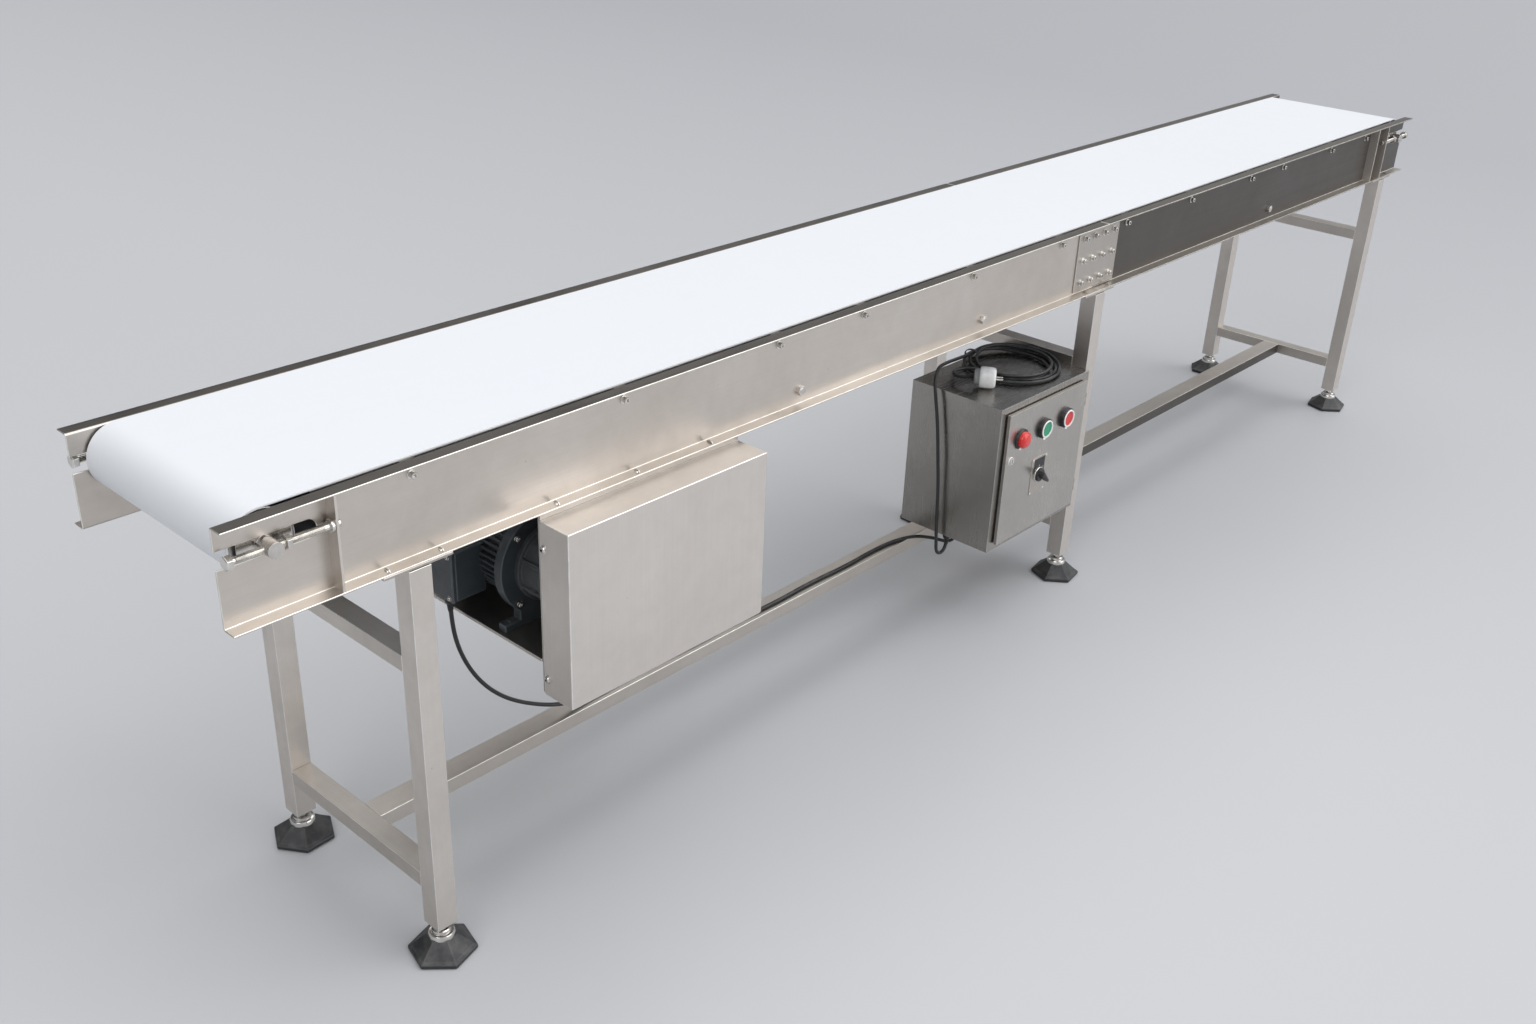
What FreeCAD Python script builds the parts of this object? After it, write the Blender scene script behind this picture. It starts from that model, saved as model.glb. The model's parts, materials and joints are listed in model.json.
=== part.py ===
import FreeCAD, Part
import math
import os
import re

import Sketcher
from FreeCAD import Placement, Rotation, Vector

# Belt conveyor section, in millimetres. +Z is up and the origin is on the floor, under the
# middle of the belt. The tail end is at -X, and the side with the drive and controls is -Y.

SIZES = {
    # Overall
    "section_length": 4000,
    "belt_top": 922,
    "belt_width": 400,
    "belt_sheet": 3,
    "run_gap": 0.3,
    "shaft_fit": 0.05,
    # Side rails: C channels with both flanges turned outward
    "belt_margin": 4.5,
    "rail_height": 160,
    "rail_sheet": 3,
    "rail_flange": 28,
    "rail_drop": 2,
    "rail_fold": 4,
    "splice_at": 217,
    "splice_gap": 1,
    "splice_length": 172,
    "splice_height": 146,
    "splice_pitch": 41,
    "splice_row": 52,
    # Belt support
    "bed_sheet": 3,
    "bed_inset": 155,
    "tie_width": 25,
    "tie_height": 40,
    "tie_wall": 2,
    # Take-up at each end
    "slot_height": 28,
    "slot_length": 155,
    "shaft_drop": 52,
    "shaft_inset": 76,
    "shaft_radius": 12.5,
    "shaft_overhang": 30.5,
    "slide_length": 84,
    "slide_height": 42,
    "slide_sheet": 2.2,
    "roller_radius": 51,
    "roller_wall": 4,
    "roller_plate": 12,
    "roller_inset": 2,
    "screw_radius": 6,
    "screw_inset": 14,
    "screw_head": 10,
    "screw_across": 12,
    "flange_inset": 172,
    "flange_sheet": 4,
    "second_flange": 245,
    # Return and snub rollers
    "return_radius": 23.5,
    "return_axle": 6,
    "snub_radius": 25,
    "snub_axle": 10,
    "snub_offset": 62,
    "snub_drop": 192,
    # Centre drive, which hangs from the rails
    "drum_at": -1120,
    "drum_drop": 257,
    "drum_radius": 55,
    "drum_shaft": 15,
    "drum_sprocket": 46,
    "motor_at": -1364,
    "motor_drop": 324,
    "motor_shaft": 12,
    "motor_sprocket": 30,
    "sprocket_width": 8,
    "chain_depth": 11,
    "chain_width": 12,
    "drive_left": -1468,
    "drive_right": -1006,
    "drive_drop": 501,
    "drive_plate": 6,
    "cover_drop": 172,
    "cover_depth": 70,
    "cover_sheet": 2,
    "shelf_drop": 434,
    "shelf_sheet": 6,
    "shelf_length": 228,
    "far_plate_left": -1360,
    "far_plate_drop": 446,
    "shell_radius": 84,
    "bell_radius": 100,
    "bell_width": 20,
    "bell_near": -118,
    "bell_far": 45,
    "foot_span": 190,
    "foot_thick": 14,
    # Legs
    "leg_tube": 40,
    "leg_wall": 2,
    "leg_outset": 10.5,
    "leg_bottom": 62,
    "leg_plug": 10,
    "tail_leg": -1699,
    "middle_leg": 216,
    "head_leg": 1846,
    "tube_height": 30,
    "lower_tube_top": 167,
    "upper_tube_drop": 168,
    "beam_width": 50,
    "leg_plate_length": 124,
    "leg_plate": 5,
    # Feet
    "foot_radius": 60,
    "foot_neck": 27,
    "foot_rim": 8,
    "foot_height": 36,
    "stud_radius": 8,
    "stud_length": 100,
    "cup_radius": 23,
    "cup_height": 10,
    # Control box
    "box_width": 362,
    "box_height": 359,
    "box_depth": 250,
    "box_bottom": 212,
    "box_outset": 12.5,
    "box_sheet": 2,
    "box_gap": 0.5,
    "lip_side": 30,
    "lip_end": 26,
    "gasket_depth": 3,
    "door_cover": 9,
    "door_depth": 8,
    "door_sheet": 2,
    "hinge_radius": 3.5,
    "hinge_pin": 1.5,
    "hinge_length": 30,
    "hinge_inset": 50,
    # Controls on the door
    "button_pitch": 92,
    "button_height": 484,
    "button_at": -15,
    "bezel_radius": 24.5,
    "bezel_depth": 11,
    "lamp_bezel_depth": 6,
    "button_radius": 17.5,
    "button_depth": 5,
    "neck_radius": 11,
    "block_depth": 42,
    "block_width": 30,
    "lamp_radius": 20,
    "lock_radius": 8,
    "lock_inset": 20,
    "lock_height": 438,
    "cam_length": 36,
    "selector_height": 366,
    "selector_width": 62,
    "selector_length": 94,
    "knob_radius": 17,
    "knob_depth": 24,
    # Cables
    "lead_radius": 4,
    "coil_radius": 102,
    "coil_section": 18,
    "coil_at_x": 74,
    "coil_at_y": -105,
    "gland_radius": 9,
    "gland_length": 20,
    "plug_radius": 24,
    "plug_length": 46,
    "pin_radius": 2.4,
    "pin_length": 16,
    "pin_offset": 7,
}

# Places along the belt
TIES = (-1684, -1264, -883, -639, -280, 60, 342, 653, 978, 1167, 1476, 1712)
RETURNS = (-820, -230, 1119)
HANGER_BOLTS = {-1: (-1424, -1248, -1071), 1: (-1248, -1071)}

# Degrees that each foot is turned on its stud, and that the selector's grip is turned from straight down
FOOT_TURNS = {("tail", "near"): 16, ("tail", "far"): 4, ("middle", "near"): 9,
              ("middle", "far"): 24, ("head", "near"): 12, ("head", "far"): 30}
GRIP_TURN = -45

# Switchgear, as distances from the box's left side, back wall and bottom:
# left, right, depth, bottom, top
SWITCHGEAR = (
    (60, 150, 110, 190, 310),
    (180, 222, 84, 200, 285),
    (226, 268, 84, 200, 285),
    (272, 314, 84, 200, 285),
    (60, 300, 60, 70, 115),
)

# Points that each cable is laid through, from the gland on
MOTOR_CABLE = [
    (-1489, -3, 512), (-1488, -3, 468), (-1478, -3, 415), (-1456, -3, 360), (-1423, -3, 308),
    (-1379, -3, 262), (-1324, -4, 224), (-1264, -5, 193), (-1205, -6, 176), (-1132, -7, 171.5),
    (-1015, -3, 171.5), (-890, -9, 171.5), (-765, -4, 171.5), (-640, -11, 171.5),
    (-515, -6, 171.5), (-395, -12, 171.5), (-290, -7, 171.5), (-210, -12, 171.5),
    (-155, -31, 171.5), (-118, -60, 164), (-100, -91, 157), (-94, -108, 174), (-94, -108, 192),
]
SUPPLY_LEAD = [
    (-142, -115, 192), (-142, -115, 169), (-161.5, -115, 157.8), (-181, -115, 169),
    (-182, -113, 200), (-183, -109, 255), (-181, -104, 330), (-184, -97, 412), (-182, -86, 492),
    (-183, -74, 556), (-176, -62, 596), (-149, -51, 613), (-108, -38, 607), (-63, -24, 598),
    (-14, -14, 590), (44, -10, 586),
]
PLUG_TAIL = [
    (-28, -128, 584), (-29, -92, 584), (-45, -55, 585), (-83, -47, 586.5), (-111, -68, 588.5),
    (-113, -95, 591.5), (-97, -114, 595.4),
]

# Sizes that follow from others
DERIVED = {
    "rail_clear": "belt_width + 2 * belt_margin",
    "roller_face": "belt_width - 2 * roller_inset",
    "shaft_length": "rail_clear + 2 * shaft_overhang",
    "leg_offset": "rail_clear / 2 + leg_outset",
    "box_front": "-(rail_clear / 2 + rail_flange + box_outset)",
    "snub_height": "belt_top - snub_drop",
    "drum_height": "belt_top - drum_drop",
    "motor_height": "belt_top - motor_drop",
    "drive_bottom": "belt_top - drive_drop",
    "cover_top": "belt_top - cover_drop",
    "shelf_top": "belt_top - shelf_drop",
    "far_plate_bottom": "belt_top - far_plate_drop",
}

doc = FreeCAD.newDocument("belt_conveyor_section")
sheet = doc.addObject("Spreadsheet::Sheet", "Sizes")
for row, (alias, amount) in enumerate(SIZES.items(), 1):
    sheet.set("A%d" % row, alias)
    sheet.set("B%d" % row, str(amount))
    sheet.setAlias("B%d" % row, alias)
doc.recompute()

subparts = []

# Places worked out from the sizes, as expressions
RAIL_TOP = "(belt_top - rail_drop)"
RAIL_BOTTOM = "(belt_top - rail_drop - rail_height)"
WEB = "(rail_clear / 2 + rail_sheet)"
TIP = "(rail_clear / 2 + rail_flange)"
SHAFT_Z = "(belt_top - rail_drop - shaft_drop)"
RETURN_Z = f"({SHAFT_Z} - roller_radius - belt_sheet - 2 * run_gap - return_radius)"
BED_TOP = "(belt_top - belt_sheet - run_gap)"
TIE_TOP = f"({BED_TOP} - bed_sheet)"
BOLT_Z = f"({TIE_TOP} - tie_height / 2)"
SCREW_Y = "(rail_clear / 2 + (rail_sheet + rail_flange) / 2)"
PLATE_OUT = f"({TIP} - 3.5)"
PLATE_IN = f"({PLATE_OUT} - drive_plate)"
BOX_RIGHT = "(middle_leg - leg_tube / 2 - box_gap)"
BOX_LEFT = f"({BOX_RIGHT} - box_width)"
BOX_TOP = "(box_bottom + box_height)"
DOOR_LEFT = f"({BOX_LEFT} + lip_side - door_cover)"
DOOR_RIGHT = f"({BOX_RIGHT} - lip_side + door_cover)"
DOOR_BOTTOM = "(box_bottom + lip_end - door_cover)"
DOOR_TOP = f"({BOX_TOP} - lip_end + door_cover)"
DOOR_BACK = "(box_front - gasket_depth - run_gap)"
DOOR_FRONT = f"({DOOR_BACK} - door_depth)"


def filled(text, point_at):
    """An expression with each derived size written out and each driving size given by point_at."""
    def swap(word):
        name = word[0]
        if name in DERIVED:
            return "(" + filled(DERIVED[name], point_at) + ")"
        return point_at(name) if name in SIZES else name
    return re.sub(r"[a-z_]+", swap, str(text))


def cells(text):
    """The same expression with each size's name pointed at its cell."""
    return filled(text, lambda name: "Sizes." + name)


def size(text):
    """The number that a size or an expression of sizes comes to."""
    return FreeCAD.Units.Quantity(filled(text, lambda name: str(sheet.get(name)))).Value


def bind(thing, **expressions):
    for prop, text in expressions.items():
        thing.setExpression(prop.replace("__", "."), cells(text))


def put(thing, spot, turn=None):
    """Places an object at expressions for x, y and z, after turning it."""
    thing.Placement = Placement(Vector(), turn or Rotation())
    for axis, text in zip("xyz", spot):
        thing.setExpression("Placement.Base." + axis, cells(text))
    return thing


def subpart(thing, label):
    thing.Label = label
    subparts.append(thing)
    return thing


def block(low, high):
    """A box between two corners given as expressions."""
    thing = doc.addObject("Part::Box", "Block")
    spans = [f"({b}) - ({a})" for a, b in zip(low, high)]
    bind(thing, Length=spans[0], Width=spans[1], Height=spans[2])
    return put(thing, low)


AXES = {
    "x": Rotation(Vector(0, 1, 0), 90),
    "y": Rotation(Vector(1, 0, 0), -90),
    "z": Rotation(),
}


def rod(radius, length, start, axis):
    """A cylinder along +x, +y or +z from its start point."""
    thing = doc.addObject("Part::Cylinder", "Rod")
    bind(thing, Radius=radius, Height=length)
    return put(thing, start, AXES[axis])


def nut(radius, length, start, axis):
    thing = doc.addObject("Part::Prism", "Nut")
    thing.Polygon = 6
    bind(thing, Circumradius=radius, Height=length)
    return put(thing, start, AXES[axis])


def fuse(*pieces):
    thing = doc.addObject("Part::MultiFuse", "Union")
    thing.Shapes = list(pieces)
    return thing


def cut(base, *tools):
    thing = doc.addObject("Part::Cut", "Cut")
    thing.Base = base
    thing.Tool = tools[0] if len(tools) == 1 else fuse(*tools)
    return thing


def gather(pieces):
    thing = doc.addObject("Part::Compound", "Group")
    thing.Links = list(pieces)
    return thing


def new_body(name):
    return doc.addObject("PartDesign::Body", name)


def sketch_on(body, plane, name):
    drawing = body.newObject("Sketcher::SketchObject", name)
    origin = [f for f in body.Origin.OriginFeatures if f.Role == plane][0]
    drawing.AttachmentSupport = [(origin, "")]
    drawing.MapMode = "FlatFace"
    return drawing


def outline(drawing, points):
    """A closed outline whose corners are held at expressions from the sketch's origin."""
    spots = [Vector(10 * math.cos(i), 10 * math.sin(i), 0) for i in range(len(points))]
    first = drawing.GeometryCount
    count = len(points)
    for i in range(count):
        drawing.addGeometry(Part.LineSegment(spots[i], spots[(i + 1) % count]))
    for i in range(count):
        after = first + (i + 1) % count
        drawing.addConstraint(Sketcher.Constraint("Coincident", first + i, 2, after, 1))
    for i, (across, up) in enumerate(points):
        for kind, text in (("DistanceX", across), ("DistanceY", up)):
            index = drawing.addConstraint(Sketcher.Constraint(kind, -1, 1, first + i, 1, 1.0 + i))
            drawing.setExpression("Constraints[%d]" % index, cells(text))


def circle(drawing, across, up, radius):
    index = drawing.addGeometry(Part.Circle(Vector(5, 5, 0), Vector(0, 0, 1), 3))
    for kind, text in (("DistanceX", across), ("DistanceY", up)):
        place = drawing.addConstraint(Sketcher.Constraint(kind, -1, 1, index, 3, 5.0))
        drawing.setExpression("Constraints[%d]" % place, cells(text))
    reach = drawing.addConstraint(Sketcher.Constraint("Radius", index, 3.0))
    drawing.setExpression("Constraints[%d]" % reach, cells(radius))


def pad(body, drawing, length, backward=False):
    thing = body.newObject("PartDesign::Pad", "Pad")
    thing.Profile = drawing
    thing.Reversed = backward
    bind(thing, Length=length)
    return thing


def spin(body, drawing):
    """Revolves a sketch drawn on the XY plane about the Y axis."""
    thing = body.newObject("PartDesign::Revolution", "Turning")
    thing.Profile = drawing
    thing.ReferenceAxis = (drawing, ["V_Axis"])
    thing.Angle = 360
    return thing


def turned(name, points):
    """A turned body about the Y axis, from (radius, distance along) expressions."""
    body = new_body(name)
    drawing = sketch_on(body, "XY_Plane", name + "Section")
    outline(drawing, points)
    spin(body, drawing)
    return body


def copies(thing_shape, placements):
    """The same solid at many places, as one compound shape."""
    shapes = []
    for placement in placements:
        shape = thing_shape.copy()
        shape.Placement = placement.multiply(shape.Placement)
        shapes.append(shape)
    return Part.makeCompound(shapes)


def made(label, shape):
    thing = doc.addObject("Part::Feature", "Made")
    thing.Shape = shape
    thing.Placement = Placement()
    return subpart(thing, label)


# ---- Side rails ----

def rail_segment(side, start, end, slot_from, slot_to):
    """One C channel, with the take-up slot left open at its end."""
    body = new_body("Rail")
    drawing = sketch_on(body, "YZ_Plane", "RailSection")
    inner = f"{side} * rail_clear / 2"
    web = f"{side} * {WEB}"
    tip = f"{side} * {TIP}"
    top = RAIL_TOP
    low = RAIL_BOTTOM
    outline(drawing, [
        (inner, low), (tip, low), (tip, f"{low} + rail_sheet"), (web, f"{low} + rail_sheet"),
        (web, f"{top} - rail_sheet"), (tip, f"{top} - rail_sheet"), (tip, top), (inner, top),
    ])
    pad(body, drawing, f"({end}) - ({start})")
    doc.recompute()
    body.setExpression("Placement.Base.x", cells(start))
    channel = body.Tip
    edges = []
    for number, edge in enumerate(channel.Shape.Edges, 1):
        middle = edge.CenterOfMass
        along = abs(edge.tangentAt(edge.FirstParameter).x) > 0.99
        inside = abs(abs(middle.y) - size("rail_clear") / 2) < 0.01
        if along and inside:
            edges.append("Edge%d" % number)
    fold = body.newObject("PartDesign::Fillet", "Fold")
    fold.Base = (channel, edges)
    bind(fold, Radius="rail_fold")
    half = "slot_height / 2"
    wide = f"{TIP} + 5"
    side_low = f"-({wide})" if side < 0 else "rail_clear / 2 - 5"
    side_high = "-(rail_clear / 2 - 5)" if side < 0 else wide
    closed = slot_to if slot_from == start else slot_from
    slot = block((slot_from, side_low, f"{SHAFT_Z} - {half}"), (slot_to, side_high, f"{SHAFT_Z} + {half}"))
    round_end = rod(half, f"({side_high}) - ({side_low})", (closed, side_low, SHAFT_Z), "y")
    return cut(body, fuse(slot, round_end))


HALF = "section_length / 2"
SPLIT_A = "splice_at - splice_gap / 2"
SPLIT_B = "splice_at + splice_gap / 2"
SLOT_END = "(slot_length - slot_height / 2)"


def rail_pair(side):
    tail = rail_segment(side, f"-{HALF}", SPLIT_A, f"-{HALF}", f"-{HALF} + {SLOT_END}")
    head = rail_segment(side, SPLIT_B, HALF, f"{HALF} - {SLOT_END}", HALF)
    return gather([tail, head])


subpart(rail_pair(-1), "near_rails")
subpart(rail_pair(1), "far_rails")

splices = []
for side in (-1, 1):
    near = f"{side} * {WEB}" if side > 0 else f"-{WEB} - rail_sheet"
    far = f"{near} + rail_sheet"
    middle = f"({RAIL_BOTTOM} + rail_height / 2)"
    splices.append(block(
        ("splice_at - splice_length / 2", near, f"{middle} - splice_height / 2"),
        ("splice_at + splice_length / 2", far, f"{middle} + splice_height / 2"),
    ))
subpart(gather(splices), "splice_plates")

# ---- Belt bed and cross ties ----

BED_SIDE = "(rail_clear / 2 - 6)"
beds = []
for start, end in ((f"-{HALF} + bed_inset", SPLIT_A), (SPLIT_B, f"{HALF} - bed_inset")):
    beds.append(block((start, f"-{BED_SIDE}", TIE_TOP), (end, BED_SIDE, BED_TOP)))
subpart(gather(beds), "slider_bed")

ties = []
for at in TIES:
    outer = block(
        (f"{at} - tie_width / 2", "-rail_clear / 2", f"{TIE_TOP} - tie_height"),
        (f"{at} + tie_width / 2", "rail_clear / 2", TIE_TOP),
    )
    hollow = block(
        (f"{at} - tie_width / 2 + tie_wall", "-rail_clear / 2 + 6", f"{TIE_TOP} - tie_height + tie_wall"),
        (f"{at} + tie_width / 2 - tie_wall", "rail_clear / 2 - 6", f"{TIE_TOP} - tie_wall"),
    )
    ties.append(cut(outer, hollow))
subpart(gather(ties), "cross_ties")

# ---- Take-up flanges: plates across the channel that the tension screws bear on ----

flanges = []
for side in (-1, 1):
    near = f"-{TIP} + 1" if side < 0 else WEB
    far = f"-{WEB}" if side < 0 else f"{TIP} - 1"
    low = f"{RAIL_BOTTOM} + rail_sheet"
    top = f"{RAIL_TOP} - rail_sheet"
    for at in (f"-{HALF} + flange_inset", f"{HALF} - flange_inset - flange_sheet"):
        plate = block((at, near, low), (f"{at} + flange_sheet", far, top))
        hole = rod("screw_radius + 1", "flange_sheet + 2", (f"{at} - 1", f"{side} * {SCREW_Y}", SHAFT_Z), "x")
        flanges.append(cut(plate, hole))
    at = f"{HALF} - second_flange"
    flanges.append(block((at, near, low), (f"{at} + flange_sheet", far, top)))
subpart(gather(flanges), "takeup_flanges")

# ---- Take-up shafts, with their slide plates and lock nuts ----

SLIDE_IN = "(rail_clear / 2 - run_gap - slide_sheet)"


def takeup_shaft(end, label):
    at = f"({end} * ({HALF} - shaft_inset))"
    pieces = [rod("shaft_radius", "shaft_length", (at, "-shaft_length / 2", SHAFT_Z), "y")]
    bores = []
    for side in (-1, 1):
        low = f"-{SLIDE_IN} - slide_sheet" if side < 0 else SLIDE_IN
        pieces.append(block(
            (f"{at} - slide_length / 2", low, f"{SHAFT_Z} - slide_height / 2"),
            (f"{at} + slide_length / 2", f"{low} + slide_sheet", f"{SHAFT_Z} + slide_height / 2"),
        ))
        bore_start = (f"{at} - 30", f"{side} * {SCREW_Y}", SHAFT_Z)
        bores.append(rod("screw_radius + shaft_fit", "60", bore_start, "x"))
    shaft = cut(fuse(*pieces), *bores)
    nuts = []
    for side in (-1, 1):
        start = f"{at} - {end} * (shaft_radius + 12) - 4"
        body = nut("screw_across", "8", (start, f"{side} * {SCREW_Y}", SHAFT_Z), "x")
        hole = rod("screw_radius + shaft_fit", "10", (f"{start} - 1", f"{side} * {SCREW_Y}", SHAFT_Z), "x")
        nuts.append(cut(body, hole))
    return subpart(gather([shaft] + nuts), label)


takeup_shaft(-1, "tail_shaft")
takeup_shaft(1, "head_shaft")


def takeup_screw(end, side, label):
    """Hex-headed tension screw: the head is outside, and a collar bears on the flange."""
    outer = f"({end} * ({HALF} - screw_inset))"
    y = f"{side} * {SCREW_Y}"
    reach = "(flange_inset - screw_inset + flange_sheet + 8)"
    if end < 0:
        stem = rod("screw_radius", reach, (outer, y, SHAFT_Z), "x")
        head = nut("screw_across", "screw_head", (f"{outer} - screw_head + 2", y, SHAFT_Z), "x")
        collar_at = f"-{HALF} + flange_inset - run_gap - 5"
    else:
        stem = rod("screw_radius", reach, (f"{outer} - {reach}", y, SHAFT_Z), "x")
        head = nut("screw_across", "screw_head", (f"{outer} - 2", y, SHAFT_Z), "x")
        collar_at = f"{HALF} - flange_inset + run_gap"
    collar = rod("screw_across - 1", "5", (collar_at, y, SHAFT_Z), "x")
    return subpart(fuse(stem, head, collar), label)


for end, end_name in ((-1, "tail"), (1, "head")):
    for side, side_name in ((-1, "near"), (1, "far")):
        takeup_screw(end, side, f"{end_name}_screw_{side_name}")


# ---- Rollers: a tube, two end plates and a bored hub, turned as one piece ----

def roller(label, radius, bore, face, wall, plate, spot):
    half = f"({face}) / 2"
    body = turned("Roller", [
        (bore, f"-{half} + 2"), (f"({radius}) - 3", f"-{half} + 2"), (f"({radius}) - 2", f"-{half}"),
        (f"({radius}) - 1", f"-{half}"), (radius, f"-{half} + 1"), (radius, f"{half} - 1"),
        (f"({radius}) - 1", half), (f"({radius}) - 2", half), (f"({radius}) - 3", f"{half} - 2"),
        (bore, f"{half} - 2"), (bore, f"{half} - 2 - ({plate})"),
        (f"({radius}) - ({wall})", f"{half} - 2 - ({plate})"),
        (f"({radius}) - ({wall})", f"-{half} + 2 + ({plate})"), (bore, f"-{half} + 2 + ({plate})"),
    ])
    put(body, spot)
    return subpart(body, label)


SHAFT_BORE = "shaft_radius + shaft_fit"
for end, name in ((-1, "tail_roller"), (1, "head_roller")):
    spot = (f"{end} * ({HALF} - shaft_inset)", "0", SHAFT_Z)
    roller(name, "roller_radius", SHAFT_BORE, "roller_face", "roller_wall", "roller_plate", spot)
for number, at in enumerate(RETURNS, 1):
    spot = (str(at), "0", RETURN_Z)
    name = f"return_roller_{number}"
    roller(name, "return_radius", "return_axle + shaft_fit", "roller_face", "3", "10", spot)
for end, name in ((-1, "snub_roller_tail"), (1, "snub_roller_head")):
    spot = (f"drum_at + {end} * snub_offset", "0", "snub_height")
    roller(name, "snub_radius", "snub_axle + shaft_fit", "roller_face + 4", "4", "12", spot)

axles = []
for at in RETURNS:
    length = f"2 * ({WEB} + 9)"
    pin = rod("return_axle", length, (str(at), f"-({length}) / 2", RETURN_Z), "y")
    heads = []
    for start in (f"-{WEB} - 8", WEB):
        heads.append(nut("return_axle + 4", "8", (str(at), start, RETURN_Z), "y"))
    axles.append(fuse(pin, *heads))
for end in (-1, 1):
    length = f"2 * ({PLATE_OUT} + 6)"
    at = f"drum_at + {end} * snub_offset"
    axles.append(rod("snub_axle", length, (at, f"-({length}) / 2", "snub_height"), "y"))
subpart(gather(axles), "roller_axles")

# ---- Centre drive: side plates, drum, bearings, sprockets and chain ----


def side_plate(side, left, bottom):
    low = f"-{PLATE_OUT}" if side < 0 else PLATE_IN
    body = new_body("SidePlate")
    drawing = sketch_on(body, "XZ_Plane", "SidePlateSection")
    outline(drawing, [
        (left, bottom), ("drive_right - cover_sheet - run_gap", bottom),
        ("drive_right - cover_sheet - run_gap", RAIL_BOTTOM), (left, RAIL_BOTTOM),
    ])
    circle(drawing, "drum_at", "drum_height", "drum_shaft + 6")
    for end in (-1, 1):
        circle(drawing, f"drum_at + {end} * snub_offset", "snub_height", "snub_axle")
    if side < 0:
        circle(drawing, "motor_at", "motor_height", "motor_shaft + 12")
    pad(body, drawing, "drive_plate", backward=True)
    put(body, ("0", low, "0"))
    inner = f"-{PLATE_IN}" if side < 0 else f"{WEB} - 3"
    outer = f"-({WEB} - 3)" if side < 0 else PLATE_IN
    lip = block((left, inner, f"{RAIL_BOTTOM} - drive_plate"), ("drive_right - 20", outer, RAIL_BOTTOM))
    return fuse(body, lip)


PLATE_LEFT = "(drive_left + cover_sheet + run_gap)"
near_plate = side_plate(-1, PLATE_LEFT, "drive_bottom + cover_sheet + run_gap")
far_plate = side_plate(1, "far_plate_left", "far_plate_bottom")
tabs = []
for left in (PLATE_LEFT, "drive_right - cover_sheet - run_gap - 3"):
    for z in ("cover_top - 60", "drive_bottom + 22"):
        tabs.append(block((left, f"-{PLATE_OUT} - 18", z), (f"{left} + 3", f"-{PLATE_OUT}", f"{z} + 24")))
subpart(gather([fuse(near_plate, *tabs), far_plate]), "drive_side_plates")

cover_low = ("drive_left", f"-{PLATE_OUT} - cover_depth", "drive_bottom")
cover_high = ("drive_right", f"-{PLATE_OUT}", "cover_top")
hollow_low = (
    "drive_left + cover_sheet", f"-{PLATE_OUT} - cover_depth + cover_sheet", "drive_bottom + cover_sheet",
)
hollow_high = ("drive_right - cover_sheet", f"-{PLATE_OUT} + 1", "cover_top - cover_sheet")
subpart(cut(block(cover_low, cover_high), block(hollow_low, hollow_high)), "chain_cover")

bearings = []
for side in (-1, 1):
    start = f"-{PLATE_OUT} - 16" if side < 0 else PLATE_OUT
    ring = rod("drum_shaft + 22", "16", ("drum_at", start, "drum_height"), "y")
    bore = rod("drum_shaft + shaft_fit", "20", ("drum_at", f"{start} - 2", "drum_height"), "y")
    bearings.append(cut(ring, bore))
subpart(gather(bearings), "drum_bearings")

SPROCKET_Y = f"(-{PLATE_OUT} - 34)"
drum_profile = [
    ("0", f"{SPROCKET_Y} - 6"), ("drum_shaft", f"{SPROCKET_Y} - 6"),
    ("drum_shaft", f"{SPROCKET_Y} - sprocket_width / 2"),
    ("drum_sprocket", f"{SPROCKET_Y} - sprocket_width / 2"),
    ("drum_sprocket", f"{SPROCKET_Y} + sprocket_width / 2"),
    ("drum_shaft + 9", f"{SPROCKET_Y} + sprocket_width / 2"),
    ("drum_shaft + 9", f"-{PLATE_OUT} - 18"), ("drum_shaft", f"-{PLATE_OUT} - 18"),
    ("drum_shaft", "-roller_face / 2 - 2"), ("drum_radius - 2", "-roller_face / 2 - 2"),
    ("drum_radius", "-roller_face / 2"), ("drum_radius", "roller_face / 2"),
    ("drum_radius - 2", "roller_face / 2 + 2"), ("drum_shaft", "roller_face / 2 + 2"),
    ("drum_shaft", f"{PLATE_OUT} + 22"), ("0", f"{PLATE_OUT} + 22"),
]
drum = turned("Drum", drum_profile)
put(drum, ("drum_at", "0", "drum_height"))
subpart(drum, "drive_drum")

pinion = turned("Pinion", [
    ("0", f"{SPROCKET_Y} - 8"), ("motor_shaft", f"{SPROCKET_Y} - 8"),
    ("motor_shaft", f"{SPROCKET_Y} - sprocket_width / 2"),
    ("motor_sprocket", f"{SPROCKET_Y} - sprocket_width / 2"),
    ("motor_sprocket", f"{SPROCKET_Y} + sprocket_width / 2"),
    ("motor_shaft + 7", f"{SPROCKET_Y} + sprocket_width / 2"),
    ("motor_shaft + 7", f"-{PLATE_OUT} - 6"), ("motor_shaft", f"-{PLATE_OUT} - 6"),
    ("motor_shaft", "bell_near - 60"), ("0", "bell_near - 60"),
])
put(pinion, ("motor_at", "0", "motor_height"))
subpart(pinion, "motor_sprocket")


def heading_points(centre, turn, heading):
    """The point of a round where a belt moving at a heading touches it. turn is a signed radius."""
    return Vector(centre[0] + turn * math.sin(heading), 0, centre[1] - turn * math.cos(heading))


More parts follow.
